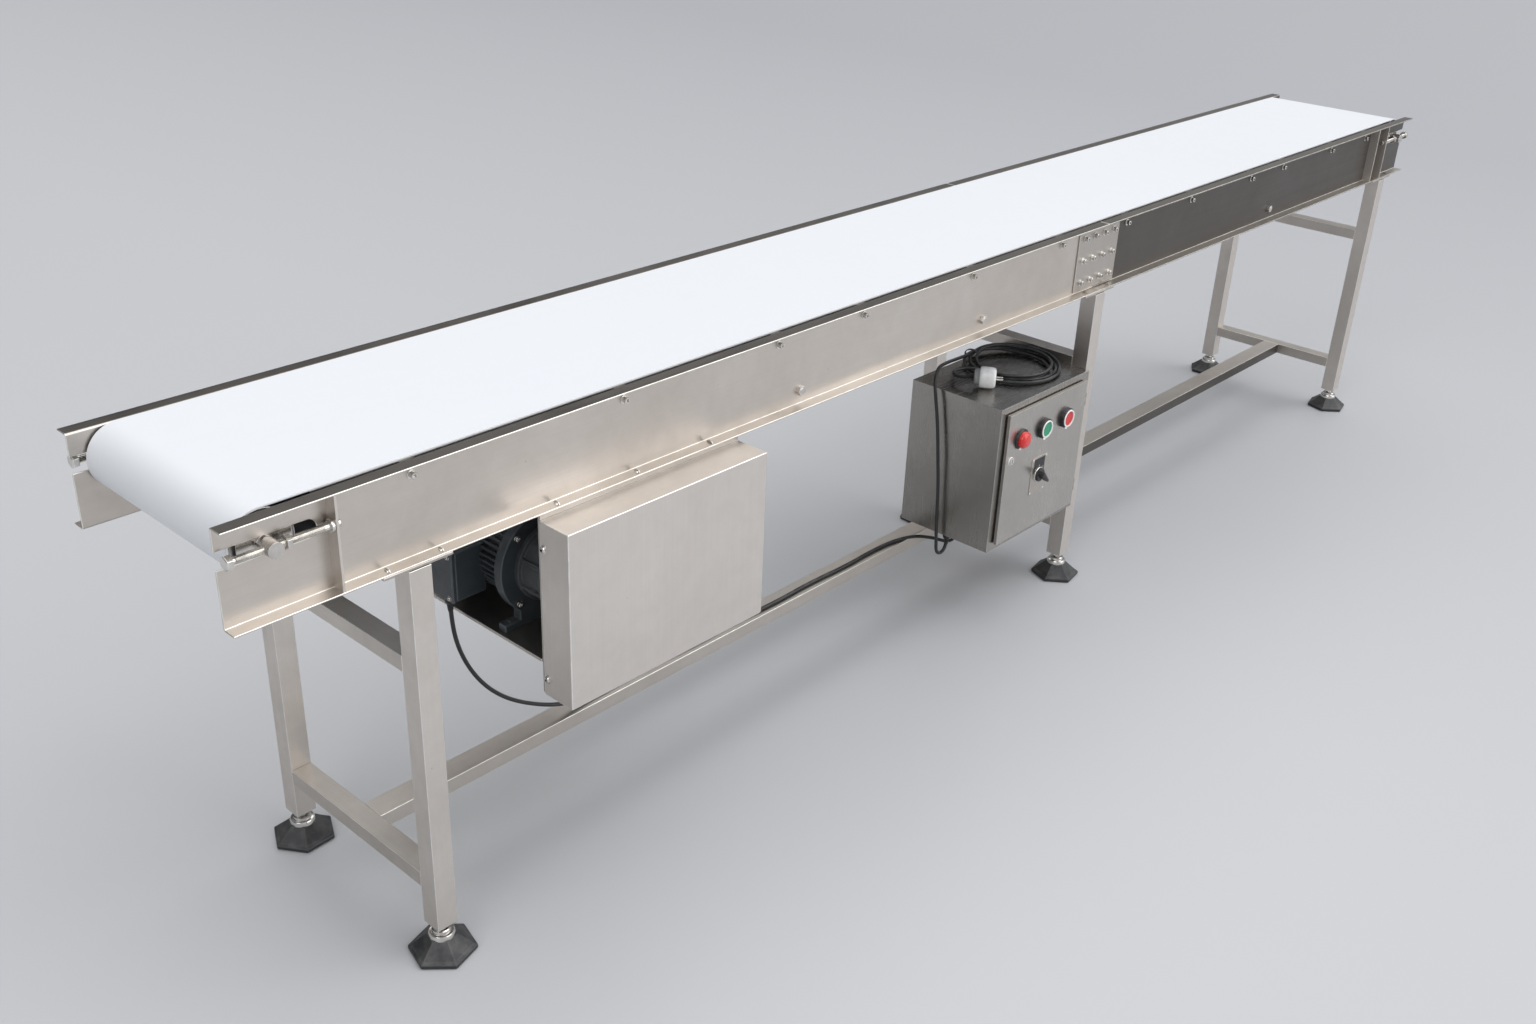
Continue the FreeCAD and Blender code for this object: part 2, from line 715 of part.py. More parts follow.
def loop_wire(rounds):
    """A closed wire round circles. Each is (x, z, signed radius), positive when it turns to the left."""
    headings = []
    for (x1, z1, r1), (x2, z2, r2) in zip(rounds, rounds[1:] + rounds[:1]):
        span = math.hypot(x2 - x1, z2 - z1)
        headings.append(math.atan2(z2 - z1, x2 - x1) - math.asin((r2 - r1) / span))
    edges = []
    count = len(rounds)
    for i, (x, z, turn) in enumerate(rounds):
        came = headings[i - 1]
        sweep = (headings[i] - came) % (2 * math.pi)
        if turn < 0:
            sweep -= 2 * math.pi
        start = heading_points((x, z), turn, came)
        middle = heading_points((x, z), turn, came + sweep / 2)
        end = heading_points((x, z), turn, came + sweep)
        edges.append(Part.Arc(start, middle, end).toShape())
        follow = rounds[(i + 1) % count]
        onward = heading_points((follow[0], follow[1]), follow[2], headings[i])
        edges.append(Part.LineSegment(end, onward).toShape())
    return Part.Wire(edges)


def band(inside, outside, order, clear, thick, low, high):
    """A closed band round rollers. inside and outside map names to (x, z, radius)."""
    solids = []
    for layer in (0, thick):
        rounds = []
        for name in order:
            if name in inside:
                x, z, radius = inside[name]
                rounds.append((x, z, -(radius + clear + layer)))
            else:
                x, z, radius = outside[name]
                rounds.append((x, z, radius + clear + thick - layer))
        solid = Part.Face(loop_wire(rounds)).extrude(Vector(0, high - low, 0))
        solid.translate(Vector(0, low, 0))
        solids.append(solid)
    return solids[1].cut(solids[0])


gap = size("run_gap")
shaft_z = size(SHAFT_Z)
end_x = size(f"{HALF} - shaft_inset")
pulleys = {
    "tail": (-end_x, shaft_z, size("roller_radius")),
    "head": (end_x, shaft_z, size("roller_radius")),
    "drum": (size("drum_at"), size("drum_height"), size("drum_radius")),
}
idlers = {
    "return": (RETURNS[0], size(RETURN_Z), size("return_radius")),
    "snub_head": (size("drum_at") + size("snub_offset"), size("snub_height"), size("snub_radius")),
    "snub_tail": (size("drum_at") - size("snub_offset"), size("snub_height"), size("snub_radius")),
}
belt_order = ["tail", "head", "return", "snub_head", "drum", "snub_tail"]
half_belt = size("belt_width") / 2
belt_shape = band(pulleys, idlers, belt_order, gap, size("belt_sheet"), -half_belt, half_belt)
made("belt", belt_shape)

sprocket_y = size(SPROCKET_Y)
wheels = {
    "motor": (size("motor_at"), size("motor_height"), size("motor_sprocket")),
    "drum": (size("drum_at"), size("drum_height"), size("drum_sprocket")),
}
half_chain = size("chain_width") / 2
chain_depth = size("chain_depth")
chain_order = ["motor", "drum"]
chain_sides = (sprocket_y - half_chain, sprocket_y + half_chain)
made("chain", band(wheels, {}, chain_order, gap, chain_depth, *chain_sides))

# ---- Gear motor on its shelf ----

subpart(block(
    ("drive_left", f"-{PLATE_IN}", "shelf_top - shelf_sheet"),
    ("drive_left + shelf_length", PLATE_IN, "shelf_top"),
), "motor_shelf")

bells = []
for start in ("bell_near", "bell_far"):
    disc = rod("bell_radius", "bell_width", ("motor_at", start, "motor_height"), "y")
    end = f"{start} + bell_width"
    foot_low = ("motor_at - foot_span / 2", start, "shelf_top")
    foot = block(foot_low, ("motor_at + foot_span / 2", end, "shelf_top + foot_thick"))
    web = block(("motor_at - 62", start, "shelf_top + 1"), ("motor_at + 62", end, "motor_height - 60"))
    bells.append(fuse(disc, foot, web))
subpart(gather(bells), "motor_end_bells")

shell_start = ("motor_at", "bell_near + bell_width", "motor_height")
shell = rod("shell_radius", "bell_far - bell_near - bell_width", shell_start, "y")
cowl = rod("shell_radius + 4", "52", ("motor_at", "bell_far + bell_width", "motor_height"), "y")
TERMINAL_BOTTOM = "motor_height - 66"
terminal_low = ("motor_at - 144", "-38", TERMINAL_BOTTOM)
terminal_high = ("motor_at - shell_radius + 8", "34", "motor_height + 30")
subpart(gather([fuse(shell, block(terminal_low, terminal_high)), cowl]), "motor_shell")

head_case = rod("72", "72", ("motor_at", "bell_near - 72", "motor_height"), "y")
head_boss = rod("34", "20", ("motor_at", "bell_near - 92", "motor_height"), "y")
head_bore = rod("motor_shaft + shaft_fit", "40", ("motor_at", "bell_near - 94", "motor_height"), "y")
head_room = rod("motor_shaft + 6", "20", ("motor_at", "bell_near - 62", "motor_height"), "y")
subpart(cut(fuse(head_case, head_boss), head_bore, head_room), "gear_head")



def gland(mouth, above, collar):
    """A cable gland under a surface, over the end of a cable that starts or ends at its mouth."""
    x, y = mouth[:2]
    stem = rod("gland_radius - 2", "gland_length", (x, y, f"{above} - gland_length"), "z")
    grip = nut("gland_radius + 2", collar, (x, y, f"{above} - {collar}"), "z")
    return fuse(stem, grip)


subpart(gland(MOTOR_CABLE[0], TERMINAL_BOTTOM, "7"), "motor_gland")

# ---- Legs, cross tubes, beams and feet ----

LEGS = ("tail_leg", "middle_leg", "head_leg")
POST_TOP = f"({RAIL_BOTTOM} - leg_plate)"
HALF_TUBE = "leg_tube / 2"
posts = []
cross_tubes = []
leg_plates = []
for leg in LEGS:
    for side in (-1, 1):
        y = f"{side} * leg_offset"
        outer = block(
            (f"{leg} - {HALF_TUBE}", f"{y} - {HALF_TUBE}", "leg_bottom"),
            (f"{leg} + {HALF_TUBE}", f"{y} + {HALF_TUBE}", POST_TOP),
        )
        hollow = block(
            (f"{leg} - {HALF_TUBE} + leg_wall", f"{y} - {HALF_TUBE} + leg_wall", "leg_bottom + leg_plug"),
            (f"{leg} + {HALF_TUBE} - leg_wall", f"{y} + {HALF_TUBE} - leg_wall", f"{POST_TOP} + 1"),
        )
        bore = rod("stud_radius + shaft_fit", "leg_plug + 2", (leg, y, "leg_bottom - 1"), "z")
        posts.append(cut(outer, hollow, bore))
        plate_low = f"{y} - 15" if side > 0 else f"{y} - 15 - 2.5"
        leg_plates.append(block(
            (f"{leg} - leg_plate_length / 2", plate_low, POST_TOP),
            (f"{leg} + leg_plate_length / 2", f"{plate_low} + 32.5", RAIL_BOTTOM),
        ))
    for top in ("lower_tube_top", f"{RAIL_BOTTOM} - upper_tube_drop"):
        span = f"leg_offset - {HALF_TUBE}"
        low = (f"{leg} - {HALF_TUBE}", f"-({span})", f"{top} - tube_height")
        tube = block(low, (f"{leg} + {HALF_TUBE}", span, top))
        inside = block(
            (f"{leg} - {HALF_TUBE} + leg_wall", f"-({span}) - 1", f"{top} - tube_height + leg_wall"),
            (f"{leg} + {HALF_TUBE} - leg_wall", f"{span} + 1", f"{top} - leg_wall"),
        )
        cross_tubes.append(cut(tube, inside))
subpart(gather(posts), "leg_posts")
subpart(gather(leg_plates), "leg_plates")
subpart(gather(cross_tubes), "cross_tubes")

beams = []
for start, end in zip(LEGS, LEGS[1:]):
    tube = block(
        (f"{start} + {HALF_TUBE}", "-beam_width / 2", "lower_tube_top - tube_height"),
        (f"{end} - {HALF_TUBE}", "beam_width / 2", "lower_tube_top"),
    )
    floor = "lower_tube_top - tube_height + leg_wall"
    inside = block(
        (f"{start} + {HALF_TUBE} - 1", "-beam_width / 2 + leg_wall", floor),
        (f"{end} - {HALF_TUBE} + 1", "beam_width / 2 - leg_wall", "lower_tube_top - leg_wall"),
    )
    beams.append(cut(tube, inside))
subpart(gather(beams), "floor_beams")


def hexagon(radius, height, spot, turn):
    thing = doc.addObject("Part::RegularPolygon", "Hexagon")
    thing.Polygon = 6
    bind(thing, Circumradius=radius)
    return put(thing, (spot[0], spot[1], height), turn)


def adjustable_foot(leg, side, degrees, label):
    turn = Rotation(Vector(0, 0, 1), degrees)
    spot = (leg, f"{side} * leg_offset")
    rim = doc.addObject("Part::Prism", "Rim")
    rim.Polygon = 6
    bind(rim, Circumradius="foot_radius", Height="foot_rim")
    put(rim, (spot[0], spot[1], "0"), turn)
    taper = doc.addObject("Part::Loft", "Taper")
    taper.Sections = [
        hexagon("foot_radius", "foot_rim", spot, turn),
        hexagon("foot_neck", "foot_height", spot, turn),
    ]
    taper.Solid = True
    taper.Ruled = True
    cup = rod("cup_radius", "cup_height", (spot[0], spot[1], "foot_height - 2"), "z")
    collar = rod("cup_radius - 6", "8", (spot[0], spot[1], "foot_height + cup_height - 3"), "z")
    stud = rod("stud_radius", "stud_length", (spot[0], spot[1], "foot_height"), "z")
    jam = nut("stud_radius + 6", "7", (spot[0], spot[1], "leg_bottom - run_gap - 7"), "z")
    return subpart(fuse(rim, taper, cup, collar, stud, jam), label)


for leg, name in zip(LEGS, ("tail", "middle", "head")):
    for side, side_name in ((-1, "near"), (1, "far")):
        adjustable_foot(leg, side, FOOT_TURNS[name, side_name], f"foot_{name}_{side_name}")

# ---- Control box ----

box = block((BOX_LEFT, "box_front", "box_bottom"), (BOX_RIGHT, "box_front + box_depth", BOX_TOP))
room = block(
    (f"{BOX_LEFT} + box_sheet", "box_front + box_sheet", "box_bottom + box_sheet"),
    (f"{BOX_RIGHT} - box_sheet", "box_front + box_depth - box_sheet", f"{BOX_TOP} - box_sheet"),
)
mouth = block(
    (f"{BOX_LEFT} + lip_side", "box_front - 1", "box_bottom + lip_end"),
    (f"{BOX_RIGHT} - lip_side", "box_front + box_sheet + 1", f"{BOX_TOP} - lip_end"),
)
HINGE_X = f"({DOOR_RIGHT} + hinge_radius + 1.5)"
HINGE_Y = f"({DOOR_BACK} - hinge_radius)"
HINGES = (f"({DOOR_BOTTOM} + hinge_inset)", f"({DOOR_TOP} - hinge_inset)")
box_pieces = [cut(box, room, mouth)]
for middle in HINGES:
    lower = (f"{middle} - hinge_length / 2", f"{middle} - 5.3")
    upper = (f"{middle} + 5.3", f"{middle} + hinge_length / 2")
    for low, high in (lower, upper):
        knuckle = rod("hinge_radius", f"({high}) - ({low})", (HINGE_X, HINGE_Y, low), "z")
        leaf = block((f"{HINGE_X} - 1", HINGE_Y, low), (f"{HINGE_X} + 2", "box_front", high))
        box_pieces.append(fuse(knuckle, leaf))
    box_pieces.append(rod("hinge_pin", "10.6", (HINGE_X, HINGE_Y, f"{middle} - 5.3"), "z"))
subpart(gather(box_pieces), "box_body")

seal = block(
    (f"{DOOR_LEFT} + 2", "box_front - gasket_depth", f"{DOOR_BOTTOM} + 2"),
    (f"{DOOR_RIGHT} - 2", "box_front", f"{DOOR_TOP} - 2"),
)
seal_hole = block(
    (f"{BOX_LEFT} + lip_side", "box_front - gasket_depth - 1", "box_bottom + lip_end"),
    (f"{BOX_RIGHT} - lip_side", "box_front + 1", f"{BOX_TOP} - lip_end"),
)
subpart(cut(seal, seal_hole), "box_gasket")

BACK = "(box_front + box_depth - box_sheet)"
gear_low = (f"{BOX_LEFT} + 28", f"{BACK} - 14", "box_bottom + 28")
gear = [block(gear_low, (f"{BOX_RIGHT} - 28", f"{BACK} - 12", f"{BOX_TOP} - 28"))]
for x in (f"{BOX_LEFT} + 40", f"{BOX_RIGHT} - 50"):
    for z in ("box_bottom + 40", f"{BOX_TOP} - 50"):
        gear.append(block((x, f"{BACK} - 12", z), (f"{x} + 10", BACK, f"{z} + 10")))
for left, right, depth, bottom, top in SWITCHGEAR:
    gear.append(block(
        (f"{BOX_LEFT} + {left}", f"{BACK} - {depth}", f"box_bottom + {bottom}"),
        (f"{BOX_LEFT} + {right}", f"{BACK} - 14", f"box_bottom + {top}"),
    ))
subpart(gather(gear), "control_gear")

glands = [gland(mouth, "box_bottom", "8") for mouth in (SUPPLY_LEAD[0], MOTOR_CABLE[-1])]
subpart(gather(glands), "box_glands")

# ---- Door and what it carries ----

door = block((DOOR_LEFT, DOOR_FRONT, DOOR_BOTTOM), (DOOR_RIGHT, DOOR_BACK, DOOR_TOP))
tray = block(
    (f"{DOOR_LEFT} + door_sheet", f"{DOOR_FRONT} + door_sheet", f"{DOOR_BOTTOM} + door_sheet"),
    (f"{DOOR_RIGHT} - door_sheet", f"{DOOR_BACK} + 1", f"{DOOR_TOP} - door_sheet"),
)
DOOR_MIDDLE = f"({DOOR_LEFT} / 2 + {DOOR_RIGHT} / 2)"
GREEN_X = f"({DOOR_MIDDLE} + button_at)"
LAMP_X = f"({GREEN_X} - button_pitch)"
RED_X = f"({GREEN_X} + button_pitch)"
LOCK_X = f"({DOOR_LEFT} + lock_inset)"
THROUGH = "door_sheet + 2"
holes = []
for x, z, radius in (
    (GREEN_X, "button_height", "neck_radius"), (LAMP_X, "button_height", "neck_radius"),
    (RED_X, "button_height", "neck_radius"), (LOCK_X, "lock_height", "lock_radius - 2 + shaft_fit"),
    (GREEN_X, "selector_height", "neck_radius - 3"),
):
    holes.append(rod(radius, THROUGH, (x, f"{DOOR_FRONT} - 1", z), "y"))
door_pieces = [cut(door, tray, *holes)]
for middle in HINGES:
    knuckle = rod("hinge_radius", "10", (HINGE_X, HINGE_Y, f"{middle} - 5"), "z")
    leaf_low = (f"{DOOR_RIGHT} - 1", f"{DOOR_FRONT} + 2", f"{middle} - 5")
    leaf = block(leaf_low, (HINGE_X, f"{DOOR_FRONT} + 4.5", f"{middle} + 5"))
    hole = rod("hinge_pin + shaft_fit", "12", (HINGE_X, HINGE_Y, f"{middle} - 6"), "z")
    door_pieces.append(cut(fuse(knuckle, leaf), hole))
subpart(fuse(*door_pieces), "box_door")


def operator(x, bezel_depth, hollow_radius):
    """A bezel on the door's face, its neck through the door and the contact block behind."""
    face = f"({DOOR_FRONT} - ({bezel_depth}))"
    bezel = rod("bezel_radius", bezel_depth, (x, face, "button_height"), "y")
    cavity = rod(hollow_radius, f"({bezel_depth}) - 1", (x, f"{face} - 1", "button_height"), "y")
    neck = rod("neck_radius", "door_depth + 12", (x, DOOR_FRONT, "button_height"), "y")
    rear = f"({DOOR_FRONT} + door_depth + 12)"
    lump = block(
        (f"{x} - block_width / 2", rear, "button_height - block_width / 2"),
        (f"{x} + block_width / 2", f"{rear} + block_depth", "button_height + block_width / 2"),
    )
    return fuse(cut(bezel, cavity), neck, lump)


CAVITY = "button_radius + run_gap"
operators = [operator(LAMP_X, "lamp_bezel_depth", "lamp_radius"), operator(GREEN_X, "bezel_depth", CAVITY),
             operator(RED_X, "bezel_depth", CAVITY)]
selector_back = block(
    (f"{GREEN_X} - 14", f"{DOOR_FRONT} + door_sheet + 6", "selector_height - 14"),
    (f"{GREEN_X} + 14", f"{DOOR_FRONT} + door_sheet + 46", "selector_height + 14"),
)
selector_neck = cut(
    rod("neck_radius - 3", "door_sheet + 6", (GREEN_X, DOOR_FRONT, "selector_height"), "y"),
    rod("3.2", "door_sheet + 4", (GREEN_X, f"{DOOR_FRONT} - 1", "selector_height"), "y"),
)
operators.append(fuse(selector_back, selector_neck))
subpart(gather(operators), "operator_bodies")

LAMP_FACE = f"({DOOR_FRONT} - lamp_bezel_depth)"
dome = doc.addObject("Part::Sphere", "Dome")
bind(dome, Radius="lamp_radius * 1.25")
put(dome, (LAMP_X, f"{LAMP_FACE} + 11", "button_height"))
column = rod("lamp_radius", "lamp_bezel_depth + 16", (LAMP_X, f"{LAMP_FACE} - 18", "button_height"), "y")
cap = doc.addObject("Part::MultiCommon", "LampCap")
cap.Shapes = [dome, column]
seat = rod("lamp_radius", "lamp_bezel_depth - 2", (LAMP_X, LAMP_FACE, "button_height"), "y")
subpart(fuse(cap, seat), "indicator_lamp")

for x, name in ((GREEN_X, "green_button"), (RED_X, "red_button")):
    front = f"({DOOR_FRONT} - bezel_depth)"
    cap_rod = rod("button_radius", "button_depth", (x, front, "button_height"), "y")
    subpart(cap_rod, name)

barrel = rod("lock_radius", "4", (LOCK_X, f"{DOOR_FRONT} - run_gap - 4", "lock_height"), "y")
CAM_Y = "(box_front + box_sheet + 2)"
spindle_length = f"{CAM_Y} - {DOOR_FRONT} + 3"
spindle = rod("lock_radius - 2", spindle_length, (LOCK_X, f"{DOOR_FRONT} - 1", "lock_height"), "y")
cam_low = (f"{LOCK_X} - 6", CAM_Y, "lock_height - cam_length")
cam = block(cam_low, (f"{LOCK_X} + 6", f"{CAM_Y} + 2", "lock_height + 6"))
key_low = (f"{LOCK_X} - 1", f"{DOOR_FRONT} - run_gap - 5", "lock_height - 4")
key_slot = block(key_low, (f"{LOCK_X} + 1", f"{DOOR_FRONT} - 2", "lock_height + 4"))
subpart(cut(fuse(barrel, spindle, cam), key_slot), "door_lock")

scale = block(
    (f"{GREEN_X} - selector_width / 2", f"{DOOR_FRONT} - 1.5", "selector_height - selector_length / 2"),
    (f"{GREEN_X} + selector_width / 2", DOOR_FRONT, "selector_height + selector_length / 2"),
)
scale_hole = rod("6", "4", (GREEN_X, f"{DOOR_FRONT} - 2", "selector_height"), "y")
subpart(cut(scale, scale_hole), "selector_plate")

KNOB_FRONT = f"({DOOR_FRONT} - 1.5 - run_gap - knob_depth)"
knob_base = rod("knob_radius", "8", ("0", "knob_depth - 8", "0"), "y")
knob_grip = block(("-4", "0", "-knob_radius - 8"), ("4", "knob_depth - 6", "knob_radius"))
knob_stem = rod("3", "knob_depth", ("0", "4", "0"), "y")
knob = fuse(knob_base, knob_grip, knob_stem)
put(knob, (GREEN_X, KNOB_FRONT, "selector_height"), Rotation(Vector(0, 1, 0), GRIP_TURN))
subpart(knob, "selector_knob")

# ---- Cables ----


def cord_wire(points, name, radius):
    """Straight runs joined by arcs, each as large as its two runs allow."""
    spots = [Vector(*p) for p in points]
    edges = []
    start = spots[0]
    sizes = []
    for before, corner, after in zip(spots, spots[1:], spots[2:]):
        arrive = (corner - before).normalize()
        leave = (after - corner).normalize()
        turn = arrive.getAngle(leave)
        shorter = min((corner - before).Length, (after - corner).Length)
        reach = 0.45 * shorter
        bend = reach / math.tan(turn / 2)
        sizes.append(bend)
        first = corner - arrive * reach
        last = corner + leave * reach
        towards = (leave - arrive).normalize()
        centre = corner + towards * math.hypot(bend, reach)
        middle = centre - towards * bend
        edges.append(Part.LineSegment(start, first).toShape())
        edges.append(Part.Arc(first, middle, last).toShape())
        start = last
    edges.append(Part.LineSegment(start, spots[-1]).toShape())
    wire = Part.Wire(edges)
    print(name, "length %.0f," % wire.Length, "smallest bend %.1f radii," % (min(sizes) / radius),
          "bends", " ".join("%.0f" % s for s in sizes))
    return wire


def tube(points, name):
    radius = size("lead_radius")
    wire = cord_wire(points, name, radius)
    heading = Vector(*points[1]) - Vector(*points[0])
    section = Part.Wire(Part.makeCircle(radius, Vector(*points[0]), heading))
    solid = wire.makePipeShell([section], True, False)
    expected = math.pi * radius**2 * wire.Length
    print(name, "volume over expected %.4f" % (solid.Volume / expected))
    return solid


made("motor_cable", tube(MOTOR_CABLE, "motor_cable"))
made("supply_lead", Part.makeCompound([tube(SUPPLY_LEAD, "supply_lead"), tube(PLUG_TAIL, "plug_tail")]))

coil = doc.addObject("Part::Torus", "Coil")
bind(coil, Radius1="coil_radius", Radius2="coil_section")
put(coil, ("coil_at_x", "coil_at_y", f"{BOX_TOP} + run_gap + coil_section"))
subpart(coil, "supply_coil")

plug_start = Vector(*PLUG_TAIL[-1])
plug_way = Vector(*PLUG_TAIL[-1]) - Vector(*PLUG_TAIL[-2])
plug_way.z = 0
plug_turn = Rotation(Vector(0, 1, 0), plug_way)
plug_body = turned("Plug", [
    ("0", "0"), ("plug_radius * 0.5", "0"), ("plug_radius * 0.7", "3"), ("plug_radius * 0.72", "12"),
    ("plug_radius * 0.92", "14"), ("plug_radius", "20"), ("plug_radius", "plug_length"),
    ("plug_radius * 0.88", "plug_length + 5"), ("0", "plug_length + 5"),
])
plug_body.Placement = Placement(plug_start, plug_turn)
pins = []
for side in (-1, 1):
    pin = doc.addObject("Part::Cylinder", "PlugPin")
    bind(pin, Radius="pin_radius", Height="pin_length + 5")
    offset = plug_turn.multVec(Vector(side * size("pin_offset"), size("plug_length"), 0))
    pin.Placement = Placement(plug_start + offset, plug_turn.multiply(AXES["y"]))
    pins.append(pin)
subpart(fuse(plug_body, *pins), "supply_plug")

# ---- Screws: one turned pattern of each kind, copied to its places ----

doc.recompute()


def screw_shape(shank, length, head, head_length, washer, socket):
    """A screw along -Y whose washer sits on y = 0 and whose shank goes along +Y."""
    solid = Part.makeCylinder(shank, length, Vector(0, 0, 0), Vector(0, 1, 0))
    if washer:
        solid = solid.fuse(Part.makeCylinder(washer, 1.5, Vector(0, -1.5, 0), Vector(0, 1, 0)))
    crown = Part.makeCylinder(head, head_length + 1.5, Vector(0, -head_length - 1.5, 0), Vector(0, 1, 0))
    solid = solid.fuse(crown)
    if socket:
        recess = Part.makeCylinder(socket, 3, Vector(0, -head_length - 2.5, 0), Vector(0, 1, 0))
        solid = solid.cut(recess)
    return solid.removeSplitter()


rail_bottom = size(RAIL_BOTTOM)
web_out = size(WEB)
sheet_depth = size("rail_sheet")
tie_screw = screw_shape(shank=3, length=sheet_depth + 5, head=5.5, head_length=8, washer=8, socket=3)
splice_screw = screw_shape(shank=3, length=sheet_depth * 2 + 4, head=5.5, head_length=6, washer=7.5, socket=3)


def facing(side, x, y, z):
    """Turns a screw so that its head looks outward from a side of the frame."""
    return Placement(Vector(x, side * y, z), Rotation(Vector(0, 0, 1), 0 if side < 0 else 180))


bolt_z = size(BOLT_Z)
tie_places = [facing(side, at, web_out, bolt_z) for side in (-1, 1) for at in TIES]
splice_places = []
rail_middle = rail_bottom + size("rail_height") / 2
for side in (-1, 1):
    for row in (-1, 0, 1):
        for column in (-1.5, -0.5, 0.5, 1.5):
            x = size("splice_at") + column * size("splice_pitch")
            z = rail_middle + row * size("splice_row")
            splice_places.append(facing(side, x, web_out + sheet_depth, z))
web_bolts = Part.makeCompound([copies(tie_screw, tie_places), copies(splice_screw, splice_places)])
made("web_bolts", web_bolts)

DOWN = Rotation(Vector(1, 0, 0), -90)
bolt_y = size(SCREW_Y)
flange_top = rail_bottom + sheet_depth
flange_screw = screw_shape(shank=3, length=sheet_depth + 14, head=6.5, head_length=9, washer=8.5, socket=3)
places = []
for leg in LEGS:
    for side in (-1, 1):
        for step in (-1, 1):
            x = size(leg) + step * (size("leg_plate_length") / 2 - 14)
            places.append(Placement(Vector(x, side * bolt_y, flange_top), DOWN))
for side, hangers in HANGER_BOLTS.items():
    for x in hangers:
        places.append(Placement(Vector(x, side * bolt_y, flange_top), DOWN))
foot_screw = screw_shape(shank=4, length=20, head=7, head_length=5, washer=9, socket=0)
foot_places = []
for start in (size("bell_near"), size("bell_far")):
    for step in (-1, 1):
        x = size("motor_at") + step * (size("foot_span") / 2 - 14)
        spot = Vector(x, start + size("bell_width") / 2, size("shelf_top") + size("foot_thick"))
        foot_places.append(Placement(spot, DOWN))
cover_screw = screw_shape(shank=3, length=7, head=6, head_length=3, washer=8, socket=0)
cover_places = []
cover_y = size(f"-{PLATE_OUT} - 9")
for z in (size("cover_top") - 48, size("drive_bottom") + 34):
    for x, degrees in ((size("drive_left"), -90), (size("drive_right"), 90)):
        cover_places.append(Placement(Vector(x, cover_y, z), Rotation(Vector(0, 0, 1), degrees)))
frame_bolts = Part.makeCompound([
    copies(flange_screw, places), copies(foot_screw, foot_places), copies(cover_screw, cover_places),
])
made("frame_bolts", frame_bolts)

# ---- Check and write every sub-part ----

doc.recompute()
faults = [f"{o.Label}: {o.State}" for o in doc.Objects if {"Invalid", "Error"} & set(o.State)]
for thing in subparts:
    if thing.Shape.isNull() or not thing.Shape.isValid() or not thing.Shape.Solids:
        faults.append(thing.Label + ": no valid solid")
if faults:
    raise RuntimeError("; ".join(faults))
os.makedirs("parts", exist_ok=True)
for thing in subparts:
    thing.Shape.exportStep("parts/%s.step" % thing.Label)
print(len(subparts), "sub-parts,", sum(len(t.Shape.Solids) for t in subparts), "solids")
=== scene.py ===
import json
import math

import bmesh
import bpy
from mathutils import Matrix, Vector


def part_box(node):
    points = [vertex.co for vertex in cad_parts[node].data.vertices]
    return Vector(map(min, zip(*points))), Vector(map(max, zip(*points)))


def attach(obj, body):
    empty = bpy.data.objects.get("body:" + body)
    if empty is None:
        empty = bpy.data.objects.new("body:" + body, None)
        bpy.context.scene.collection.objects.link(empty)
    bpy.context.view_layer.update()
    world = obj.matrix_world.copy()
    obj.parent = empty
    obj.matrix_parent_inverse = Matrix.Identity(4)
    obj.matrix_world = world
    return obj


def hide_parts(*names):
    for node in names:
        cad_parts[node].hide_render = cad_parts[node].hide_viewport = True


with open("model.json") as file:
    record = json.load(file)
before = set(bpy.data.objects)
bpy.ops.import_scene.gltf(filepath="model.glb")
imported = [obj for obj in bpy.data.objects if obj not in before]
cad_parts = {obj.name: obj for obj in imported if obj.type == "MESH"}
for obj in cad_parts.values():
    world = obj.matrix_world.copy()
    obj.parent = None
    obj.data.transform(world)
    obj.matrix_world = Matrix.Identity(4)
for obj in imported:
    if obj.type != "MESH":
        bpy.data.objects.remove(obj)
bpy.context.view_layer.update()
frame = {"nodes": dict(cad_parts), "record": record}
nodes = frame["nodes"]
record = frame["record"]
scene = bpy.context.scene
bodyOf = {node: body for body, held in record["behaviour"]["bodies"].items() for node in held}

# ---------- camera ----------

cameraView = {
    "place": Vector((-2.81826, -1.90831, 1.85658)),
    "heading": 0.724,
    "tilt": -0.468,
    "roll": 0.041,
    "lens": 35.26,
}


def placeCamera():
    heading, tilt, roll = cameraView["heading"], cameraView["tilt"], cameraView["roll"]
    ahead = Vector((math.cos(tilt) * math.cos(heading), math.cos(tilt) * math.sin(heading), math.sin(tilt)))
    level = ahead.cross(Vector((0, 0, 1))).normalized()
    upright = level.cross(ahead)
    right = level * math.cos(roll) + upright * math.sin(roll)
    up = upright * math.cos(roll) - level * math.sin(roll)
    lens = bpy.data.cameras.new("camera")
    lens.lens = cameraView["lens"]
    lens.sensor_width = 36
    lens.clip_start = 0.05
    lens.clip_end = 100
    camera = bpy.data.objects.new("camera", lens)
    turn = Matrix((right, up, -ahead)).transposed().to_4x4()
    camera.matrix_world = Matrix.Translation(cameraView["place"]) @ turn
    scene.collection.objects.link(camera)
    scene.camera = camera


placeCamera()
print("camera placed")


# ---------- node helpers ----------

def addNode(tree, kind, inputs=None, **settings):
    made = tree.nodes.new(kind)
    for name, value in settings.items():
        setattr(made, name, value)
    for name, value in (inputs or {}).items():
        if isinstance(value, bpy.types.NodeSocket):
            tree.links.new(value, made.inputs[name])
        else:
            made.inputs[name].default_value = value
    return made


